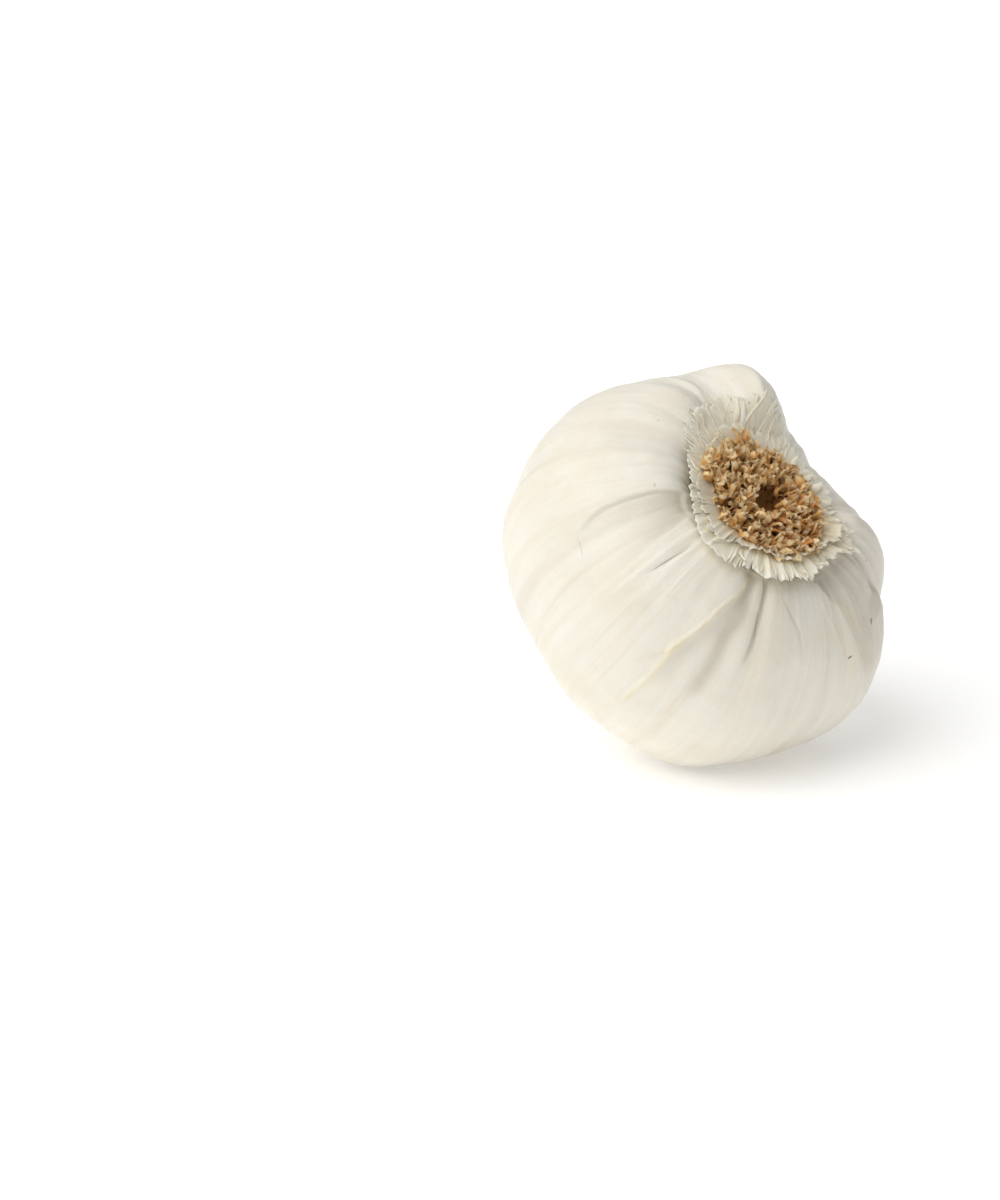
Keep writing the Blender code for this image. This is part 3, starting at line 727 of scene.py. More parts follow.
def collar_material():
    """Torn dry skin round the roots: cream, matte, thin, with painted shade in the valleys of its folds."""
    made, tree, shader = new_material("torn_collar")
    grain = attribute(tree, "grain", "Vector")
    across = attribute(tree, "across")
    colour = tinted(tree, COLLAR_FOOT, (
        (across, 0.02, 0.40, 0.0, 1.0, COLLAR_CREAM),
        (noise(tree, grain, 1.5), 0.50, 0.74, 0.0, 0.6, COLLAR_STREAK),
        (noise(tree, grain, 0.45, 3.0, 0.5), 0.5, 0.7, 0.0, 0.45, COLLAR_BAND),
        (attribute(tree, "tan"), 0.0, 1.0, 0.0, 0.6, COLLAR_TAN),
        (attribute(tree, "grey"), 0.0, 1.0, 0.0, 0.7, COLLAR_GREY),
        # Painted shade: darker in the valleys of the folds.
        (attribute(tree, "fold"), -1.0, -0.2, 0.15, 0.0, COLLAR_FOLD_SHADE),
        (attribute(tree, "hump"), 0.0, 1.0, 0.0, 0.35, COLLAR_HUMP),
        (across, 0.8, 1.0, 0.0, 0.8, COLLAR_TIP),
    ))
    tree.links.new(colour, shader.inputs["Base Color"])
    set_inputs(shader, {
        "Roughness": 0.6,
        "Subsurface Weight": 0.25,
        "Subsurface Radius": (1.0, 0.8, 0.5),
        "Subsurface Scale": 0.0012,
    })
    bumped(tree, shader, noise(tree, grain, 5.0), 0.00014, 0.8)
    return made


# Dark of the stubs' feet and the plate: the plate's own dark brown and painted shade of the deep gaps between
# stubs.
ROOT_FOOT_BROWN_AND_SHADE = (0.20, 0.08, 0.02)
ROOT_BROWN = (0.42, 0.21, 0.065)
ROOT_BLOTCH = (0.62, 0.32, 0.10)
ROOT_OCHRE = (0.90, 0.50, 0.15)
ROOT_PALE = (1.0, 0.70, 0.33)
ROOT_RUST = (0.95, 0.38, 0.08)
ROOT_TIP = (1.0, 0.83, 0.53)


def root_material():
    """Dried root stubs: dark at the foot with painted shade of the gaps, ochre along the side, pale at the cut
    ends, some rusty.
    """
    made, tree, shader = new_material("dried_roots")
    grain = attribute(tree, "grain", "Vector")
    along = attribute(tree, "along")
    tone = attribute(tree, "tone")
    wrinkle = noise(tree, grain, 1.2)
    colour = tinted(tree, ROOT_FOOT_BROWN_AND_SHADE, (
        (along, 0.0, 0.55, 0.0, 1.0, ROOT_OCHRE),
        (tone, 0.38, 0.78, 0.0, 0.85, ROOT_PALE),
        (attribute(tree, "rust"), 0.6, 0.95, 0.0, 0.7, ROOT_RUST),
        (tone, 0.05, 0.34, 0.85, 0.0, ROOT_BROWN),
        (noise(tree, grain, 0.5, 3.0, 0.5), 0.52, 0.74, 0.0, 0.4, ROOT_BLOTCH),
        (wrinkle, 0.52, 0.72, 0.0, 0.5, ROOT_PALE),
        (along, 0.64, 1.0, 0.0, 0.9, ROOT_TIP),
        # Painted shade: the lower part of each stub darkened as its deep gaps would be.
        (along, 0.08, 0.46, 0.95, 0.0, ROOT_FOOT_BROWN_AND_SHADE),
    ))
    tree.links.new(colour, shader.inputs["Base Color"])
    set_inputs(shader, {"Roughness": 0.6, "Specular IOR Level": 0.2})
    bumped(tree, shader, wrinkle, 0.0003, 0.9)
    return made


STALK_PALE = (0.55, 0.40, 0.22)
STALK_DARK = (0.30, 0.19, 0.09)


def stalk_material():
    """Dry core of the stalk."""
    made, tree, shader = new_material("stalk_core")
    streak = noise(tree, attribute(tree, "grain", "Vector"), 1.4)
    colour = tinted(tree, STALK_PALE, ((streak, 0.4, 0.7, 0.0, 1.0, STALK_DARK),))
    tree.links.new(colour, shader.inputs["Base Color"])
    set_inputs(shader, {"Roughness": 0.8})
    bumped(tree, shader, streak, 0.0003, 0.7)
    return made


# Skin with its neck.

# Layers of the cut neck inside its rim: share of the rim's radius, depth in mm.
CUT_LAYERS = (
    (0.965, -0.12), (0.94, 0.35), (0.90, 0.40), (0.875, 0.02), (0.845, 0.02), (0.82, 0.50), (0.76, 0.55),
    (0.73, 0.15), (0.69, 0.15), (0.66, 0.60), (0.56, 0.62), (0.52, 0.30), (0.47, 0.32), (0.43, 0.72),
    (0.30, 0.80),
)


# Grain of the skin: radius that it is wound on, its run per mm along the skin, and a neck layer's step in mm.
SKIN_GRAIN_R = 31.0
SKIN_GRAIN_RUN = 0.07
CUT_STEP = 0.5
# Depth of the cut's middle, and how ragged its rim is, mm.
CUT_DEPTH = 0.85
NECK_RAGGED = 0.16


def lifted_to_floor(made):
    """Moves what lies under the floor up to it."""
    flat = np.empty(len(made.data.vertices) * 3)
    made.data.vertices.foreach_get("co", flat)
    flat[2::3] = np.maximum(flat[2::3], 0.0)
    made.data.vertices.foreach_set("co", flat)


def make_skin(material):
    """Cloves in their papery skin, with folds, layer edges, pleats and the layered cut neck."""
    shares = np.linspace(0.0, 1.0, SKIN_ROWS)
    degrees = even_degrees(SKIN_COLUMNS)
    base = skin_point_rows(shares, degrees)
    relief, painted_shade, warm = skin_relief(shares, degrees, base)
    seat = ramp(0.03, 0.10, shares)[:, None]
    points = base + normals_of(base) * (relief * seat)[..., None]

    rim = points[-1]
    middle = rim.mean(axis=0)
    ragged = ring_noise(degrees, 5, 40, 21) * NECK_RAGGED
    rim[:, 2] += ragged
    rows = list(points)
    for share, deep in CUT_LAYERS:
        ring = middle + (rim - middle) * share
        ring[:, 2] = middle[2] + deep + ragged * share
        rows.append(ring)
    extra = len(CUT_LAYERS)
    grid = np.stack(rows)
    local = np.vstack([grid.reshape(-1, 3), grid[0].mean(axis=0), middle + UP * CUT_DEPTH])
    made = mesh_object("skin", local, capped_faces(len(rows), SKIN_COLUMNS), material)
    lifted_to_floor(made)

    run = np.r_[0.0, np.cumsum(np.linalg.norm(np.diff(meridian(shares), axis=0), axis=1))]
    run = np.r_[run, run[-1] + np.arange(1, extra + 1) * CUT_STEP]
    grain = ring_points(SKIN_GRAIN_R, np.radians(degrees)[None, :], run[:, None] * SKIN_GRAIN_RUN)

    def spread(values, filler):
        block = np.vstack([values, np.full((extra, SKIN_COLUMNS), filler)])
        return np.r_[block.ravel(), filler, filler]

    add_attribute(made, "grain", np.vstack([grain.reshape(-1, 3), grain[0, :1], grain[-1, :1]]))
    add_attribute(made, "place", local)
    # Painted shade on the skin; the neck's cut end gets an even 0.3 of it.
    add_attribute(made, "painted_shade", spread(painted_shade, 0.3))
    add_attribute(made, "warm", spread(warm, 0.35))
    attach(made, "root")
    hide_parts("bulb")
    return made


# Collar.

COLLAR_COLUMNS = 1440
COLLAR_ROWS = 15
# Half height of the folds by angle, mm.
FOLD_RISE = (
    (0, 0.08), (25, 0.15), (45, 0.26), (60, 0.30), (80, 0.29), (100, 0.24), (118, 0.18), (135, 0.11),
    (150, 0.07), (200, 0.05), (225, 0.03), (262, 0.025), (300, 0.02), (330, 0.05),
)
# Thickness and gap to the skin by angle, as a share of the full ones.
COLLAR_BODY = (
    (0, 0.6), (30, 0.9), (50, 1.0), (110, 1.0), (135, 0.9), (150, 0.6), (180, 0.45), (215, 0.3), (300, 0.28),
    (330, 0.5),
)
# Outer radius of the shorter layer that lies on the first, by angle.
INNER_REACH = (
    (0, 12.2), (14, 13.6), (24, 13.8), (34, 11.6), (48, 10.9), (62, 11.3), (74, 11.6), (88, 11.0),
    (104, 11.0), (118, 11.4), (130, 12.9), (142, 12.0), (156, 10.6), (200, 10.2), (222, 11.0), (238, 12.4),
    (256, 13.4), (272, 12.6), (296, 11.0), (316, 11.2), (338, 11.6),
)
# How unevenly long the torn folds are, by angle.
RAGGED = (
    (0, 0.4), (30, 0.6), (60, 0.6), (110, 0.75), (150, 1.0), (200, 0.7), (225, 0.55), (262, 0.85), (295, 0.7),
    (330, 0.4),
)
# Loose strips of skin by the roots: angle, inner and outer radius, width, lift, sideways drift in degrees.
STRIPS = (
    (8, 11.4, 14.4, 1.4, 0.6, 3), (22, 11.2, 15.2, 1.2, 0.7, -3), (36, 11.6, 14.6, 1.3, 0.7, 2),
    (52, 11.8, 14.9, 1.3, 0.9, -3), (84, 11.2, 13.9, 1.2, 0.9, -2), (98, 11.4, 13.4, 1.2, 1.0, 3),
    (110, 11.2, 13.6, 1.4, 1.0, 2), (122, 11.0, 14.8, 2.2, 0.7, 1), (129, 11.0, 15.0, 2.4, 0.9, -2),
    (138, 11.4, 14.6, 1.8, 0.8, 2), (150, 9.6, 12.0, 1.2, 0.5, 2), (163, 9.0, 11.6, 1.0, 0.4, -2),
    (176, 8.8, 11.4, 1.2, 0.5, 3), (190, 8.8, 11.2, 0.9, 0.4, -3), (203, 9.0, 11.6, 1.1, 0.5, 2),
    (318, 10.6, 12.9, 1.0, 0.3, -2), (336, 10.8, 13.0, 1.2, 0.3, 3),
)
# Fine strips: how many, from and to angle, and the least radius at which one starts.
FINE_STRIPS = 34
FINE_FROM_DEG = 212.0
FINE_TO_DEG = 306.0
FINE_LEAST_R = 9.2
# The two layers: seed, outer radius by angle and its blur, added lift, share of the folds' height, least and
# greatest width of a fold in degrees, gap to the skin and thickness in mm.
COLLAR_LAYERS = (
    (31, COLLAR_REACH, 1.2, 0.0, 1.0, (2.0, 6.5), 0.16, 0.30),
    (47, INNER_REACH, 2.0, 0.30, 0.8, (2.0, 5.0), 0.58, 0.24),
)
# Slits in the torn edge: how many, and their depth by column.
SLITS = 40
SLIT_SHAPE = ((-2, 0.3), (-1, 0.8), (0, 1.0), (1, 0.75), (2, 0.25))
# Mesh and thickness of a loose strip, and the radius that the collar's grain is wound on.
STRIP_ROWS = 14
STRIP_COLUMNS = 5
STRIP_THICK = 0.16
COLLAR_GRAIN_R = 13.0


def fine_strips():
    """Narrow fibrous strips that lie on the full clove above the roots."""
    rng = random.Random(77)
    made = []
    for k in range(FINE_STRIPS):
        degree = FINE_FROM_DEG + (FINE_TO_DEG - FINE_FROM_DEG) * (k + rng.random()) / FINE_STRIPS
        far = float(by_angle(COLLAR_REACH, degree)) + rng.uniform(-1.5, 0.6)
        near = max(FINE_LEAST_R, far - rng.uniform(2.5, 6.5))
        wide = rng.uniform(0.25, 0.85)
        lift = rng.uniform(0.0, 0.10)
        made.append((degree, near, far, wide, lift, rng.uniform(-8.0, 8.0)))
    return made


def skin_height_table(degrees):
    """Heights of the skin by radius, for every angle: radii and heights of the rows under the collar."""
    shares = np.linspace(0.06, 0.45, 160)
    rows = skin_point_rows(shares, degrees)
    return np.hypot(rows[..., 0], rows[..., 1]), rows[..., 2]


def bridge(radius):
    """Least height of the collar at a radius: it bridges the dimple round the roots."""
    return np.interp(radius, *np.array(COLLAR_BRIDGE).T)


def ground_under(table, radius):
    """Height that the collar lies on, for one radius per angle: the skin, or the bridge over the dimple."""
    radii, heights = table
    skin = [np.interp(r, radii[:, k], heights[:, k]) for k, r in enumerate(radius)]
    return np.maximum(np.array(skin), bridge(radius))


def zigzag(degrees, rng, low, high):
    """Uneven accordion folds: value -1 to 1 by angle, and the number of the fold at each angle."""
    edges = [0.0]
    while edges[-1] < 360.0 - high:
        wide = rng.uniform(low, high) * (1.8 if rng.random() < 0.14 else 1.0)
        edges.append(edges[-1] + wide)
    edges.append(360.0)
    heights = np.array([(1.0 if k % 2 else -1.0) * rng.uniform(0.35, 1.0) for k in range(len(edges))])
    heights[-1] = heights[0]
    fold = np.searchsorted(edges, degrees, side="right") // 2
    return np.interp(degrees, edges, heights), fold


def by_fold(fold, rng, low, high):
    """One random value for each fold, given at every angle."""
    return np.array([rng.uniform(low, high) for _ in range(int(fold.max()) + 1)])[fold]


def torn_reach(degrees, rng, fold, rough):
    """Ragged edge: each fold torn at its own length, with fine teeth and some slits."""
    length = by_fold(fold, rng, -1.0, 0.5)
    teeth = np.array([rng.uniform(-1.0, 1.0) for _ in degrees])
    teeth = (teeth + np.roll(teeth, 1) + np.roll(teeth, 2)) / 3.0
    bites = ring_noise(degrees, 30, 80, rng.randrange(1000))
    pieces = ring_noise(degrees, 7, 22, rng.randrange(1000))
    slits = np.zeros(len(degrees))
    for _ in range(SLITS):
        at = rng.randrange(len(degrees))
        deep = rng.uniform(0.6, 2.2)
        for k, share in SLIT_SHAPE:
            spot = (at + k) % len(degrees)
            slits[spot] = max(slits[spot], deep * share)
    return rough * (length * 0.7 + teeth * 0.22 + bites * 0.30 + pieces * 0.45) - slits


def collar_layer(seed, reach_pairs, blur, lift_add, fold_scale, folds_wide, gap, thick):
    """One torn layer: grids of points over and under, with its masks."""
    rng = random.Random(seed)
    degrees = even_degrees(COLLAR_COLUMNS)
    table = skin_height_table(degrees)
    folds, fold = zigzag(degrees, rng, *folds_wide)
    folds = 2.0 * ((folds + 1.0) * 0.5) ** 1.7 - 1.0
    wide = np.interp(degrees, RING_DEG, ring_through(reach_pairs, blur), period=360.0)
    inner = by_angle(COLLAR_EDGE, degrees) + 0.25 * ring_noise(degrees, 20, 70, seed + 3)
    rough = np.clip((wide - inner) / 4.0, 0.25, 1.0) * by_angle(RAGGED, degrees)
    reach = np.maximum(wide + torn_reach(degrees, rng, fold, rough), inner + 0.8)
    curl = by_fold(fold, rng, -0.6, 0.9)
    curl = np.convolve(np.r_[curl[-4:], curl, curl[:4]], np.ones(9) / 9.0, "valid")
    frill = ring_noise(degrees, 70, 150, seed + 5)
    lift = form_at("lift", degrees) + lift_add * ramp(0.2, 1.2, form_at("lift", degrees))
    body = by_angle(COLLAR_BODY, degrees)
    gap = gap * body
    rise = by_angle(FOLD_RISE, degrees) * fold_scale
    skew = ring_noise(degrees, 6, 20, seed + 9) * 1.6
    upper = []
    lower = []
    across = []
    for share in np.arange(COLLAR_ROWS) / (COLLAR_ROWS - 1):
        radius = inner + (reach - inner) * share
        ground = ground_under(table, radius)
        height = ground + gap + lift * share**1.4
        height = height + rise * (1.0 + folds) * (0.2 + 0.8 * ramp(0.0, 0.5, share))
        height = height + curl * share**4 * (0.2 + 0.35 * lift)
        height = height + frill * 0.16 * ramp(0.7, 1.0, share) * (0.1 + 0.7 * lift)
        height = np.maximum(height, ground + gap * 0.8)
        low = ring_points(radius, np.radians(degrees + skew * share), height)
        upper.append(low + UP * (thick * body * (1.0 - 0.6 * share))[:, None])
        lower.append(low)
        across.append(np.full(len(degrees), share))
    loop = np.stack(upper + lower[::-1])
    shares = np.stack(across + across[::-1])
    return loop, shares, np.broadcast_to(folds, shares.shape), np.broadcast_to(degrees, shares.shape)


def strip_block(index, degree, inner, outer, wide, lift, drift):
    """One loose strip of skin, thin and a little curled: its loop of points and masks."""
    rng = random.Random(900 + index)
    bend = rng.uniform(-0.3, 0.5)
    cup = rng.uniform(0.05, 0.22)
    low = 0.2 if wide < 0.9 else 0.5
    steps = (np.arange(STRIP_COLUMNS) / (STRIP_COLUMNS - 1) - 0.5) * 2.0
    upper = []
    angles = []
    shares = []
    for k in range(STRIP_ROWS):
        share = k / (STRIP_ROWS - 1)
        radius = inner + (outer - inner) * share
        sway = 0.75 + 0.35 * math.sin(share * 3.0 + index)
        half = 0.5 * wide * sway * (1.0 - 0.75 * ramp(0.6, 1.0, share))
        middle = degree + drift * share + 1.2 * math.sin(share * 4.0 + index * 1.7)
        turn = middle + np.degrees(steps * half / radius)
        ground = ground_under(skin_height_table(turn), np.full(STRIP_COLUMNS, radius))
        rise = low + lift * share**1.3 + bend * share**3 * lift + cup * min(1.0, wide) * (1.0 - steps**2)
        ragged = radius
        if k == STRIP_ROWS - 1:
            ragged = radius + 0.25 * np.array([rng.uniform(-1, 1) for _ in steps])
        upper.append(ring_points(ragged, np.radians(turn), ground + rise))
        angles.append(turn)
        shares.append(np.full(STRIP_COLUMNS, share))
    top = np.stack(upper)
    loop = np.concatenate([top, (top - UP * STRIP_THICK)[:, ::-1]], axis=1)
    angles = np.stack(angles)
    shares = np.stack(shares)
    return loop, np.hstack([shares, shares]), np.hstack([angles, angles[:, ::-1]])


def tube_faces(rows, columns, start):
    """Quads between rings whose last one meets the first."""
    c = np.arange(columns)
    n = (c + 1) % columns
    last = start + (rows - 1) * columns
    return [grid_faces(rows, columns, start), np.stack([last + c, last + n, start + n, start + c], -1)]


def strip_faces(rows, columns, start):
    """Quads round a strip, and quads that close its two ends."""
    k = np.arange(columns // 2 - 1)
    first = np.stack([start + k, start + k + 1, start + columns - 2 - k, start + columns - 1 - k], -1)
    return [grid_faces(rows, columns, start), first, first[:, ::-1] + (rows - 1) * columns]


def make_collar(material):
    """Torn, pleated skins that stand round the roots: two overlapping layers and loose strips."""
    vertices = []
    faces = []
    grain = []
    zones = {"grey": GREY_ZONE, "tan": TAN_ZONE, "hump": HUMP_ZONE}
    masks = {"across": [], "fold": [], "grey": [], "tan": [], "hump": []}
    start = 0

    def add_block(loop, shares, folds, degrees, layer):
        vertices.append(loop.reshape(-1, 3))
        masks["across"].append(shares.ravel())
        masks["fold"].append(folds.ravel())
        for name, zone in zones.items():
            masks[name].append(by_angle(zone, degrees.ravel()))
        spun = ring_points(COLLAR_GRAIN_R, np.radians(degrees), shares * 0.7 + layer)
        grain.append(spun.reshape(-1, 3))

    for layer in COLLAR_LAYERS:
        loop, shares, folds, degrees = collar_layer(*layer)
        faces.extend(tube_faces(*loop.shape[:2], start))
        add_block(loop, shares, folds, degrees, float(layer[0]))
        start += shares.size
    for index, strip in enumerate([*STRIPS, *fine_strips()]):
        loop, shares, degrees = strip_block(index, *strip)
        faces.extend(strip_faces(*loop.shape[:2], start))
        add_block(loop, shares, np.full(shares.shape, 0.6), degrees, 60.0 + index)
        start += shares.size
    made = mesh_object("collar", np.vstack(vertices), faces, material)
    for name, values in masks.items():
        add_attribute(made, name, np.concatenate(values))
    add_attribute(made, "grain", np.vstack(grain))
    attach(made, "root")
    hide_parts("skin_collar")
    return made


# Roots.

STUB_COUNT = 640
RIM_STUBS = 96
STUB_RINGS = 12
STUB_SIDES = 8
# Grain of a stub: radius that it is wound on, and the step from one stub to the next.
STUB_GRAIN_R = 2.4
STUB_GRAIN_STEP = 7.3
# How far a stub's foot is sunk into the plate, mm, and how often a new one is tried where one doesn't fit.
STUB_SINK = 0.8
STUB_TRIES = 7
# Turn from one stub to the next in the spiral, radians, and the lengths of the stubs at the plate's rim, mm.
SPIRAL_TURN = 2.39996
RIM_LENGTHS = (1.8, 3.0)
# Longer shreds that hang out over the collar: from and to angle, count, shortest and longest.
TUFTS = (
    (250, 272, 16, 3.4, 5.4), (308, 323, 13, 2.8, 4.2), (56, 112, 46, 2.8, 4.6), (276, 306, 10, 2.0, 3.2),
)
# Side of the bulb that faces the viewer, and the bare patch in the mat through which the bowl shows.
VIEW_SIDE_DEG = 24.0
BARE_AT = (-0.2, 0.25)
BARE_LONG = 2.7
BARE_WIDE = 1.9
BARE_TURN = math.radians(24.0)
# The bowl as the viewer sees it: height, middle and half widths of the bare patch.
BOWL_LEVEL = 17.0
BOWL_AT = (-0.8, 0.0)
BOWL_SEEN = (1.5, 1.25)
# Outline of the mat of stubs at the height MAT_LEVEL, by angle, how far a millimetre of height moves a place
# across that outline for the viewer, and how far a stub may reach past it.
MAT_LEVEL = 19.5
MAT_DRIFT = (-0.983, -0.429)
MAT_SLACK = 0.25
MAT_REACH = (
    (6, 10.6), (31, 10.6), (52, 10.4), (59, 11.0), (77, 13.0), (95, 11.9), (116, 10.5), (129, 9.2),
    (148, 9.6), (156, 9.3), (176, 8.7), (189, 8.4), (207, 8.2), (220, 9.0), (246, 10.2), (260, 13.2),
    (269, 12.7), (285, 11.0), (303, 11.0), (318, 11.9), (328, 9.6), (333, 8.7), (346, 9.6),
)


def angle_of(x, y):
    """Angle of a place round the axis, 0 to 360 degrees."""
    return math.degrees(math.atan2(y, x)) % 360.0


def collar_edge_at(turn):
    """Radius of the collar's inner edge at an angle in radians."""
    return float(by_angle(COLLAR_EDGE, math.degrees(turn) % 360.0))


def plate_height(x, y):
    """Top of the root plate: a low dome with a bowl in it."""
    rho = np.hypot(x, y) / PLATE_R
    dome = PLATE_TOP_H + (PLATE_RIM_H - PLATE_TOP_H) * rho**2
    away = np.hypot(x - CRATER_AT[0], y - CRATER_AT[1]) / CRATER_R
    return dome - CRATER_DEEP * (1.0 - ramp(0.2, 1.1, away))


def collar_clear_height(degrees, radius):
    """Least height at which a root is clear of the collar."""
    ground = float(ground_under(skin_height_table(np.array([degrees])), [radius])[0])
    share = min(1.0, max(0.0, (radius - 9.0) / 4.0))
    return ground + 1.0 + float(form_at("lift", degrees)) * share**1.4


def plate_block():
    """Rough top of the root plate with its edge: points, faces and masks."""
    rings = 44
    sides = 170
    share = (np.arange(1, rings + 1) / rings)[:, None]
    x = PLATE_R * share * np.cos(even_turns(sides))
    y = PLATE_R * share * np.sin(even_turns(sides))
    grid = np.stack([x, y, plate_height(x, y)], -1)
    grid[..., 2] += 0.24 * waves(grid, 30, 0.7, 2.6, 41) + 0.12 * waves(grid, 30, 0.45, 0.9, 43)
    base = grid[-1].copy()
    base[:, :2] *= 0.94
    base[:, 2] = PLATE_BASE_H
    grid = np.concatenate([grid, base[None]])
    points = np.vstack([grid.reshape(-1, 3), [0, 0, plate_height(0.0, 0.0)], [0, 0, PLATE_BASE_H]])
    faces = capped_faces(len(grid), sides)
    bowl = 1.0 - ramp(0.5, 1.2, np.hypot(points[:, 0] - CRATER_AT[0], points[:, 1] - CRATER_AT[1]) / CRATER_R)
    # The plate lies near the stubs' feet in this mask, so it takes their dark brown and painted shade, a little
    # less in the bowl.
    return points, faces, 0.10 + 0.09 * bowl


def stub_plan(x, y, rim, rng):
    """How a stub grows: where it heads, how long it is, how it leans and curls."""
    radius = math.hypot(x, y)
    spread = min(1.0, radius / PLATE_R)
    own = math.atan2(y, x)
    from_bowl = math.hypot(x - CRATER_AT[0], y - CRATER_AT[1])
    by_bowl = 1.0 - float(ramp(CRATER_R * 0.9, CRATER_R * 1.9, from_bowl))
    before_bowl = float(ramp(0.2, 0.9, math.cos(own - math.radians(VIEW_SIDE_DEG)))) * by_bowl
    far_side = float(ramp(0.1, 0.8, -math.cos(own - math.radians(VIEW_SIDE_DEG)))) * spread
    away = own + rng.gauss(0.0, 0.35 + 1.6 * (1.0 - spread))
    if by_bowl > 0.2:
        away = math.atan2(y - CRATER_AT[1], x - CRATER_AT[0]) + rng.gauss(0.0, 0.7)
    reach = float(by_angle(MAT_REACH, angle_of(x, y)))
    length = rng.uniform(1.7, 3.3) + 1.7 * spread**2 * rng.uniform(0.2, 1.0) * (1.0 - far_side)
    length = length * (1.0 - 0.4 * before_bowl) * (1.0 - 0.25 * far_side)
    if rim:
        length = rng.uniform(*rim)
    outward = min(0.93 * length, max(0.0, (reach - radius) * rng.uniform(0.75, 1.1)))
    lean = math.asin(min(0.95, outward / length)) * spread + rng.gauss(0.05, 0.38) + 0.45 * by_bowl
    if rim:
        lean = max(lean, rng.uniform(0.2, 0.9))
    return {
        "away": away,
        "length": length,
        "lean": min(1.3, lean),
        "droop": rng.uniform(0.0, 1.3) * spread**2 + rng.gauss(0.2, 0.9),
        "swing": rng.gauss(0.0, 1.7),
        "wave": rng.uniform(0.3, 1.2),
        "phase": rng.uniform(0.0, 6.28),
        "speed": rng.uniform(4.5, 8.5),
    }


def stub_line(x, y, rim, rng):
    """Points down the middle of a shrivelled, curled stub, and the heading of its end."""
    plan = stub_plan(x, y, rim, rng)
    step = (plan["length"] + STUB_SINK) / (STUB_RINGS - 1)
    foot = float(plate_height(x, y))
    at = None
    points = []
    for k in range(STUB_RINGS):
        share = k / (STUB_RINGS - 1)
        ahead = share * plan["speed"] + plan["phase"]
        tilt = plan["lean"] + plan["droop"] * (share - 0.35) + plan["wave"] * math.sin(ahead) * share
        turn = plan["away"] + plan["swing"] * (share - 0.3) + 0.8 * plan["wave"] * math.cos(ahead + share)
        heading = Vector((math.sin(tilt) * math.cos(turn), math.sin(tilt) * math.sin(turn), math.cos(tilt)))
        if at is None:
            at = Vector((x, y, foot)) - heading * STUB_SINK
        points.append(at.copy())
        at = at + heading * step
        out = math.hypot(at.x, at.y)
        if out > 8.9:
            at.z = max(at.z, collar_clear_height(angle_of(at.x, at.y), out))
        else:
            at.z = max(at.z, float(plate_height(at.x, at.y)) + 0.3)
    return points, heading


def seen_at(at, level):
    """Where the viewer sees a point on the plane of the given height."""
    return at.x + (at.z - level) * MAT_DRIFT[0], at.y + (at.z - level) * MAT_DRIFT[1]


def past_outline(x, y):
    """How far a place lies past the mat's outline, mm."""
    return math.hypot(x, y) - float(by_angle(MAT_REACH, angle_of(x, y)))


def in_bowl(x, y):
    """Whether a place lies in the bowl as the viewer sees it."""
    return math.hypot((x - BOWL_AT[0]) / BOWL_SEEN[0], (y - BOWL_AT[1]) / BOWL_SEEN[1]) < 1.0


def fitting_stub(x, y, rim, rng):
    """Stub that stays in the outline and doesn't hide the bowl, or none after a few tries."""
    for _ in range(STUB_TRIES):
        points, heading = stub_line(x, y, rim, rng)
        outside = any(past_outline(*seen_at(at, MAT_LEVEL)) >= MAT_SLACK for at in points[4:])
        hiding = any(in_bowl(*seen_at(at, BOWL_LEVEL)) for at in points[3:])
        if not outside and not hiding:
            return points, heading
    return None, None


def stub_rings(points, rng):
    """Rings of a thin, twisted shred whose width and edges are uneven and whose end is torn."""
    half = rng.choice((0.2, 0.26, 0.32, 0.38, 0.44, 0.52, 0.62)) * rng.uniform(0.9, 1.1)
    flat = rng.uniform(0.16, 0.42)
    twist = rng.uniform(-3.0, 3.0)
    roll = rng.uniform(0.0, 6.28)
    cup = rng.choice((-1.0, 1.0)) * rng.uniform(0.25, 0.9)
    groove = rng.uniform(0.04, 0.18)
    phase = rng.uniform(0.0, 6.28)
    side = Vector((0.3, 0.8, 0.1)).normalized()
    rings = []
    for k, at in enumerate(points):
        before = points[max(k - 1, 0)]
        after = points[min(k + 1, len(points) - 1)]
        heading = (after - before).normalized()
        side = (side - heading * side.dot(heading)).normalized()
        other = heading.cross(side)
        share = k / (STUB_RINGS - 1)
        swell = 1.0 + 0.2 * math.sin(share * 11.0 + phase) + rng.uniform(-0.14, 0.14) - 0.25 * share**2
        angle = roll + twist * share
        wide_axis = side * math.cos(angle) + other * math.sin(angle)
        thin_axis = other * math.cos(angle) - side * math.sin(angle)
        for corner in range(STUB_SIDES):
            turn = 2.0 * math.pi * corner / STUB_SIDES
            ripple = 1.0 + groove * math.cos(turn * 5.0 + phase)
            wide = math.cos(turn) * ripple
            thin = math.sin(turn) * flat * ripple + cup * (wide * wide - 0.5)
            torn = heading * rng.uniform(-0.35, 0.2) if k == STUB_RINGS - 1 else Vector()
            rings.append(at + (wide_axis * wide + thin_axis * thin) * (half * swell) + torn)
    return rings


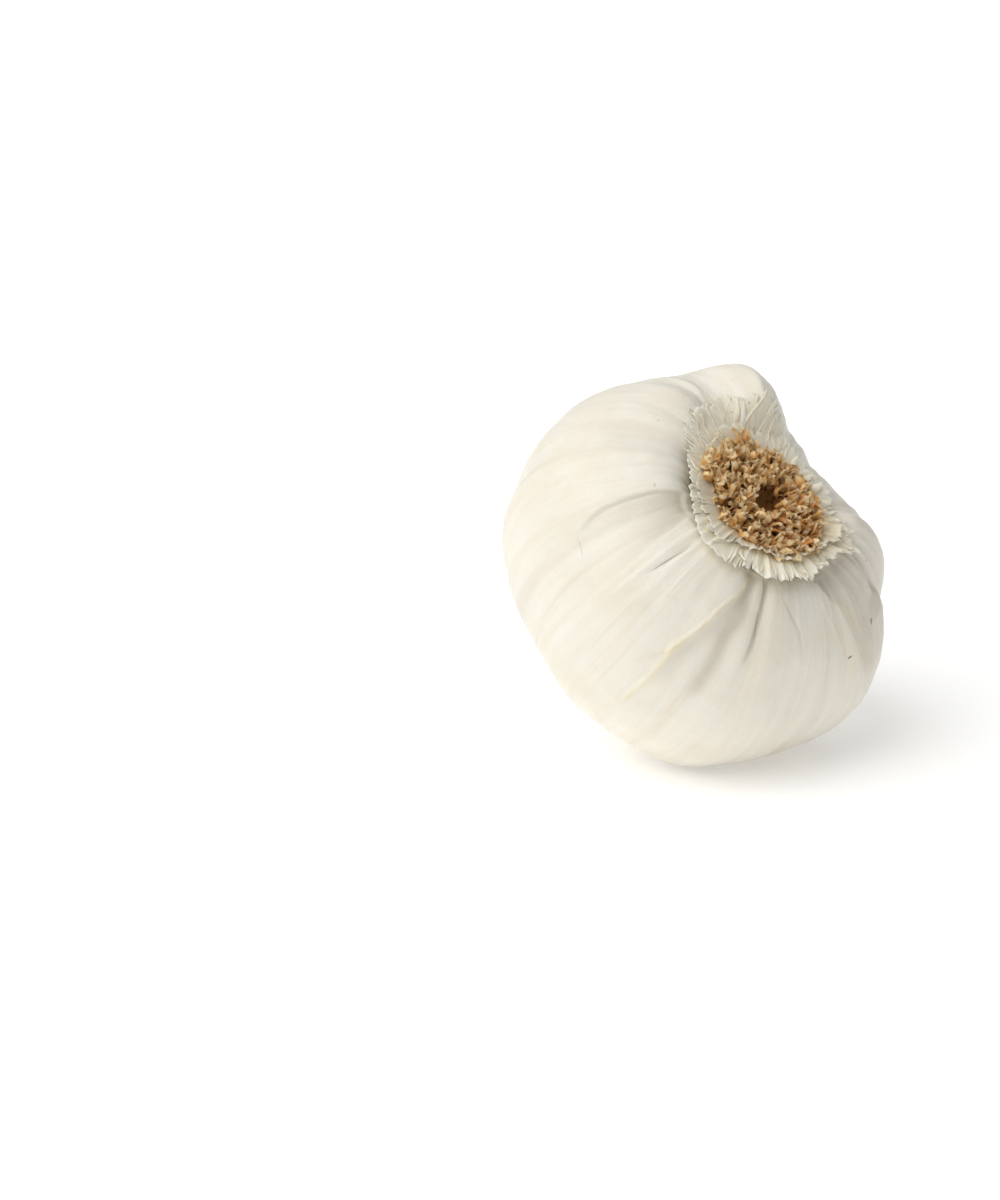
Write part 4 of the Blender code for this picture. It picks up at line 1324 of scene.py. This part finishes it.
def stub_places(rng):
    """Places of the stubs: an even, shaken spiral with the bowl left bare, then a ring at the plate's rim."""
    places = []
    for k in range(STUB_COUNT):
        radius = (PLATE_R - 0.3) * math.sqrt((k + 0.5) / STUB_COUNT)
        turn = k * SPIRAL_TURN + rng.gauss(0.0, 0.06)
        x = radius * math.cos(turn) + rng.gauss(0.0, 0.2)
        y = radius * math.sin(turn) + rng.gauss(0.0, 0.2)
        along = (x - BARE_AT[0]) * math.cos(BARE_TURN) + (y - BARE_AT[1]) * math.sin(BARE_TURN)
        aside = (y - BARE_AT[1]) * math.cos(BARE_TURN) - (x - BARE_AT[0]) * math.sin(BARE_TURN)
        bare = math.hypot(along / BARE_LONG, aside / BARE_WIDE) <= 1.0
        if not bare and math.hypot(x, y) < collar_edge_at(turn) - 0.2:
            places.append((x, y, None))
    for k in range(RIM_STUBS):
        turn = (k + rng.uniform(-0.4, 0.4)) * 2.0 * math.pi / RIM_STUBS
        edge = collar_edge_at(turn) - 0.3
        places.append((edge * math.cos(turn), edge * math.sin(turn), RIM_LENGTHS))
    for low, high, count, shortest, longest in TUFTS:
        for _ in range(count):
            turn = math.radians(rng.uniform(low, high))
            edge = collar_edge_at(turn) - rng.uniform(0.2, 1.2)
            places.append((edge * math.cos(turn), edge * math.sin(turn), (shortest, longest)))
    return places


def make_roots(material):
    """Root plate and its mat of dried, curled stubs with cut, hollow ends."""
    rng = random.Random(17)
    points, faces, along = plate_block()
    vertices = [points]
    masks = [along]
    tone = [np.full(len(points), 0.4)]
    rust = [np.full(len(points), 0.3)]
    grain = [points]
    share = np.repeat(np.linspace(0.0, 1.0, STUB_RINGS), STUB_SIDES)
    corner = np.tile(even_turns(STUB_SIDES), STUB_RINGS)
    start = len(points)
    for index, (x, y, rim) in enumerate(stub_places(rng)):
        line, heading = fitting_stub(x, y, rim, rng)
        if line is None:
            continue
        sunk = line[-1] - heading * 0.1
        block = np.array([tuple(p) for p in [*stub_rings(line, rng), line[0], sunk]])
        vertices.append(block)
        faces.extend(capped_faces(STUB_RINGS, STUB_SIDES, start, flip=True))
        masks.append(np.r_[share, 0.0, 0.35])
        lower_right = ramp(-6.0, 8.0, -x * 0.35 + y)
        tone.append(np.full(len(block), rng.random()))
        rust.append(np.full(len(block), min(1.0, rng.random() * (0.55 + 0.75 * lower_right))))
        spun = ring_points(STUB_GRAIN_R, corner, share * 1.6) + index * STUB_GRAIN_STEP
        grain.append(np.vstack([spun, spun[:1], spun[-1:]]))
        start += len(block)
    made = mesh_object("root_mat", np.vstack(vertices), faces, material, smooth=False)
    for name, values in (("along", masks), ("tone", tone), ("rust", rust)):
        add_attribute(made, name, np.concatenate(values))
    add_attribute(made, "grain", np.vstack(grain))
    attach(made, "root")
    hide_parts("roots")
    return made


# Stalk: its radius, how far it stands out of the cut and how long it is, mm.

STALK_R = 1.35
STALK_OUT = 0.35
STALK_LONG = 2.3
STALK_ROWS = 14
STALK_SIDES = 40


def make_stalk(material):
    """Dry core of the stalk in the neck's cut end: a ribbed, broken stub."""
    rim = skin_point_rows(np.array([1.0]), RING_DEG[::15])[0].mean(axis=0)
    turn = even_turns(STALK_SIDES)
    rows = []
    for share in np.arange(STALK_ROWS) / (STALK_ROWS - 1):
        swell = 0.84 + 0.16 * math.sin(min(1.0, share * 3.0) * 1.57)
        wide = STALK_R * swell * (1.0 - 0.28 * ramp(0.75, 1.0, share))
        radius = wide * (1.0 + 0.07 * np.cos(turn * 7 + 1.0) + 0.05 * np.cos(turn * 11 + share * 3.0))
        height = STALK_OUT - share * STALK_LONG + 0.22 * share * np.cos(turn * 3 + 0.5)
        rows.append(rim + ring_points(radius, turn, height))
    points = np.vstack([*rows, rim + UP * STALK_OUT, rim - UP * 1.75])
    made = mesh_object("stalk_core", points, capped_faces(STALK_ROWS, STALK_SIDES), material)
    spun = np.tile(ring_points(2.0, turn, 0.0), (STALK_ROWS, 1))
    grain = np.vstack([spun, [0, 0, 0], [0, 0, 0]])
    grain[:, 2] = points[:, 2] * 0.2
    add_attribute(made, "grain", grain)
    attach(made, "root")
    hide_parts("stalk_tip")
    return made


# Studio.

CAMERA_EL_DEG = 17.0
CAMERA_DISTANCE = 0.55
LENS = 110.0
SENSOR = 36.0
# Where the bulb's middle sits in the 1000 by 1200 image.
MIDDLE_PX = (703.0, 568.0)
IMAGE = (1000.0, 1200.0)
KEY_FROM = (-0.62, -0.46, 0.94)
KEY_POWER = 1.72
KEY_WIDTH_DEG = 62.0
TOP_FROM = (-0.35, 0.45, 1.0)
TOP_POWER = 0.95
TOP_WIDTH_DEG = 100.0
LAMP_COLOUR = (1.0, 0.985, 0.955)
SURROUND = 0.265
SURROUND_COLOUR = (0.965, 0.985, 1.0, 1.0)
FLOOR_GLOW = 0.23
FLOOR_COLOUR = (0.97, 0.97, 0.97, 1.0)


def make_camera():
    """Camera at the photograph's viewing angle, aimed so that the bulb sits right of the middle."""
    pixels = LENS / SENSOR * IMAGE[1]
    elevation = math.radians(CAMERA_EL_DEG)
    back = Vector((0.0, -math.cos(elevation), math.sin(elevation)))
    right = Vector((1.0, 0.0, 0.0))
    up = back.cross(right)
    middle = Vector((SHIFT * MM).tolist())
    place = middle + back * CAMERA_DISTANCE
    aside = (IMAGE[0] / 2.0 - MIDDLE_PX[0]) / pixels
    above = (MIDDLE_PX[1] - IMAGE[1] / 2.0) / pixels
    forward = (-back + right * aside + up * above).normalized()
    level = forward.cross(up).normalized()
    turn = Matrix((level, level.cross(forward), -forward)).transposed()
    data = bpy.data.cameras.new("photo_camera")
    data.lens = LENS
    data.sensor_fit = "VERTICAL"
    data.sensor_height = SENSOR
    data.sensor_width = SENSOR
    data.clip_start = 0.01
    data.clip_end = 20.0
    camera = bpy.data.objects.new("photo_camera", data)
    camera.matrix_world = Matrix.Translation(place) @ turn.to_4x4()
    bpy.context.scene.collection.objects.link(camera)
    bpy.context.scene.camera = camera


def make_lamp(name, place, power, wide_deg):
    """Far, soft lamp."""
    data = bpy.data.lights.new(name, "SUN")
    data.energy = power
    data.angle = math.radians(wide_deg)
    data.color = LAMP_COLOUR
    lamp = bpy.data.objects.new(name, data)
    lamp.rotation_euler = (-Vector(place)).to_track_quat("-Z", "Y").to_euler()
    bpy.context.scene.collection.objects.link(lamp)


def make_lights():
    """Wide soft key from the upper left, a weak one from above and an even white surround."""
    make_lamp("key", KEY_FROM, KEY_POWER, KEY_WIDTH_DEG)
    make_lamp("top", TOP_FROM, TOP_POWER, TOP_WIDTH_DEG)
    world = bpy.data.worlds.new("studio")
    world.use_nodes = True
    background = world.node_tree.nodes["Background"]
    background.inputs["Color"].default_value = SURROUND_COLOUR
    background.inputs["Strength"].default_value = SURROUND
    bpy.context.scene.world = world


def make_floor():
    """Plain pale floor, lit a little from below."""
    mesh = bpy.data.meshes.new("floor")
    mesh.from_pydata([(-4, -4, 0), (4, -4, 0), (4, 4, 0), (-4, 4, 0)], [], [(0, 1, 2, 3)])
    floor = bpy.data.objects.new("floor", mesh)
    bpy.context.scene.collection.objects.link(floor)
    made, _, shader = new_material("floor_white")
    set_inputs(shader, {
        "Base Color": FLOOR_COLOUR,
        "Roughness": 0.7,
        "Specular IOR Level": 0.2,
        "Emission Color": (1.0, 1.0, 1.0, 1.0),
        "Emission Strength": FLOOR_GLOW,
    })
    mesh.materials.append(made)


def main():
    make_camera()
    make_lights()
    make_floor()
    make_skin(skin_material())
    make_collar(collar_material())
    make_roots(root_material())
    make_stalk(stalk_material())
    bpy.context.scene.view_settings.view_transform = "Standard"


main()
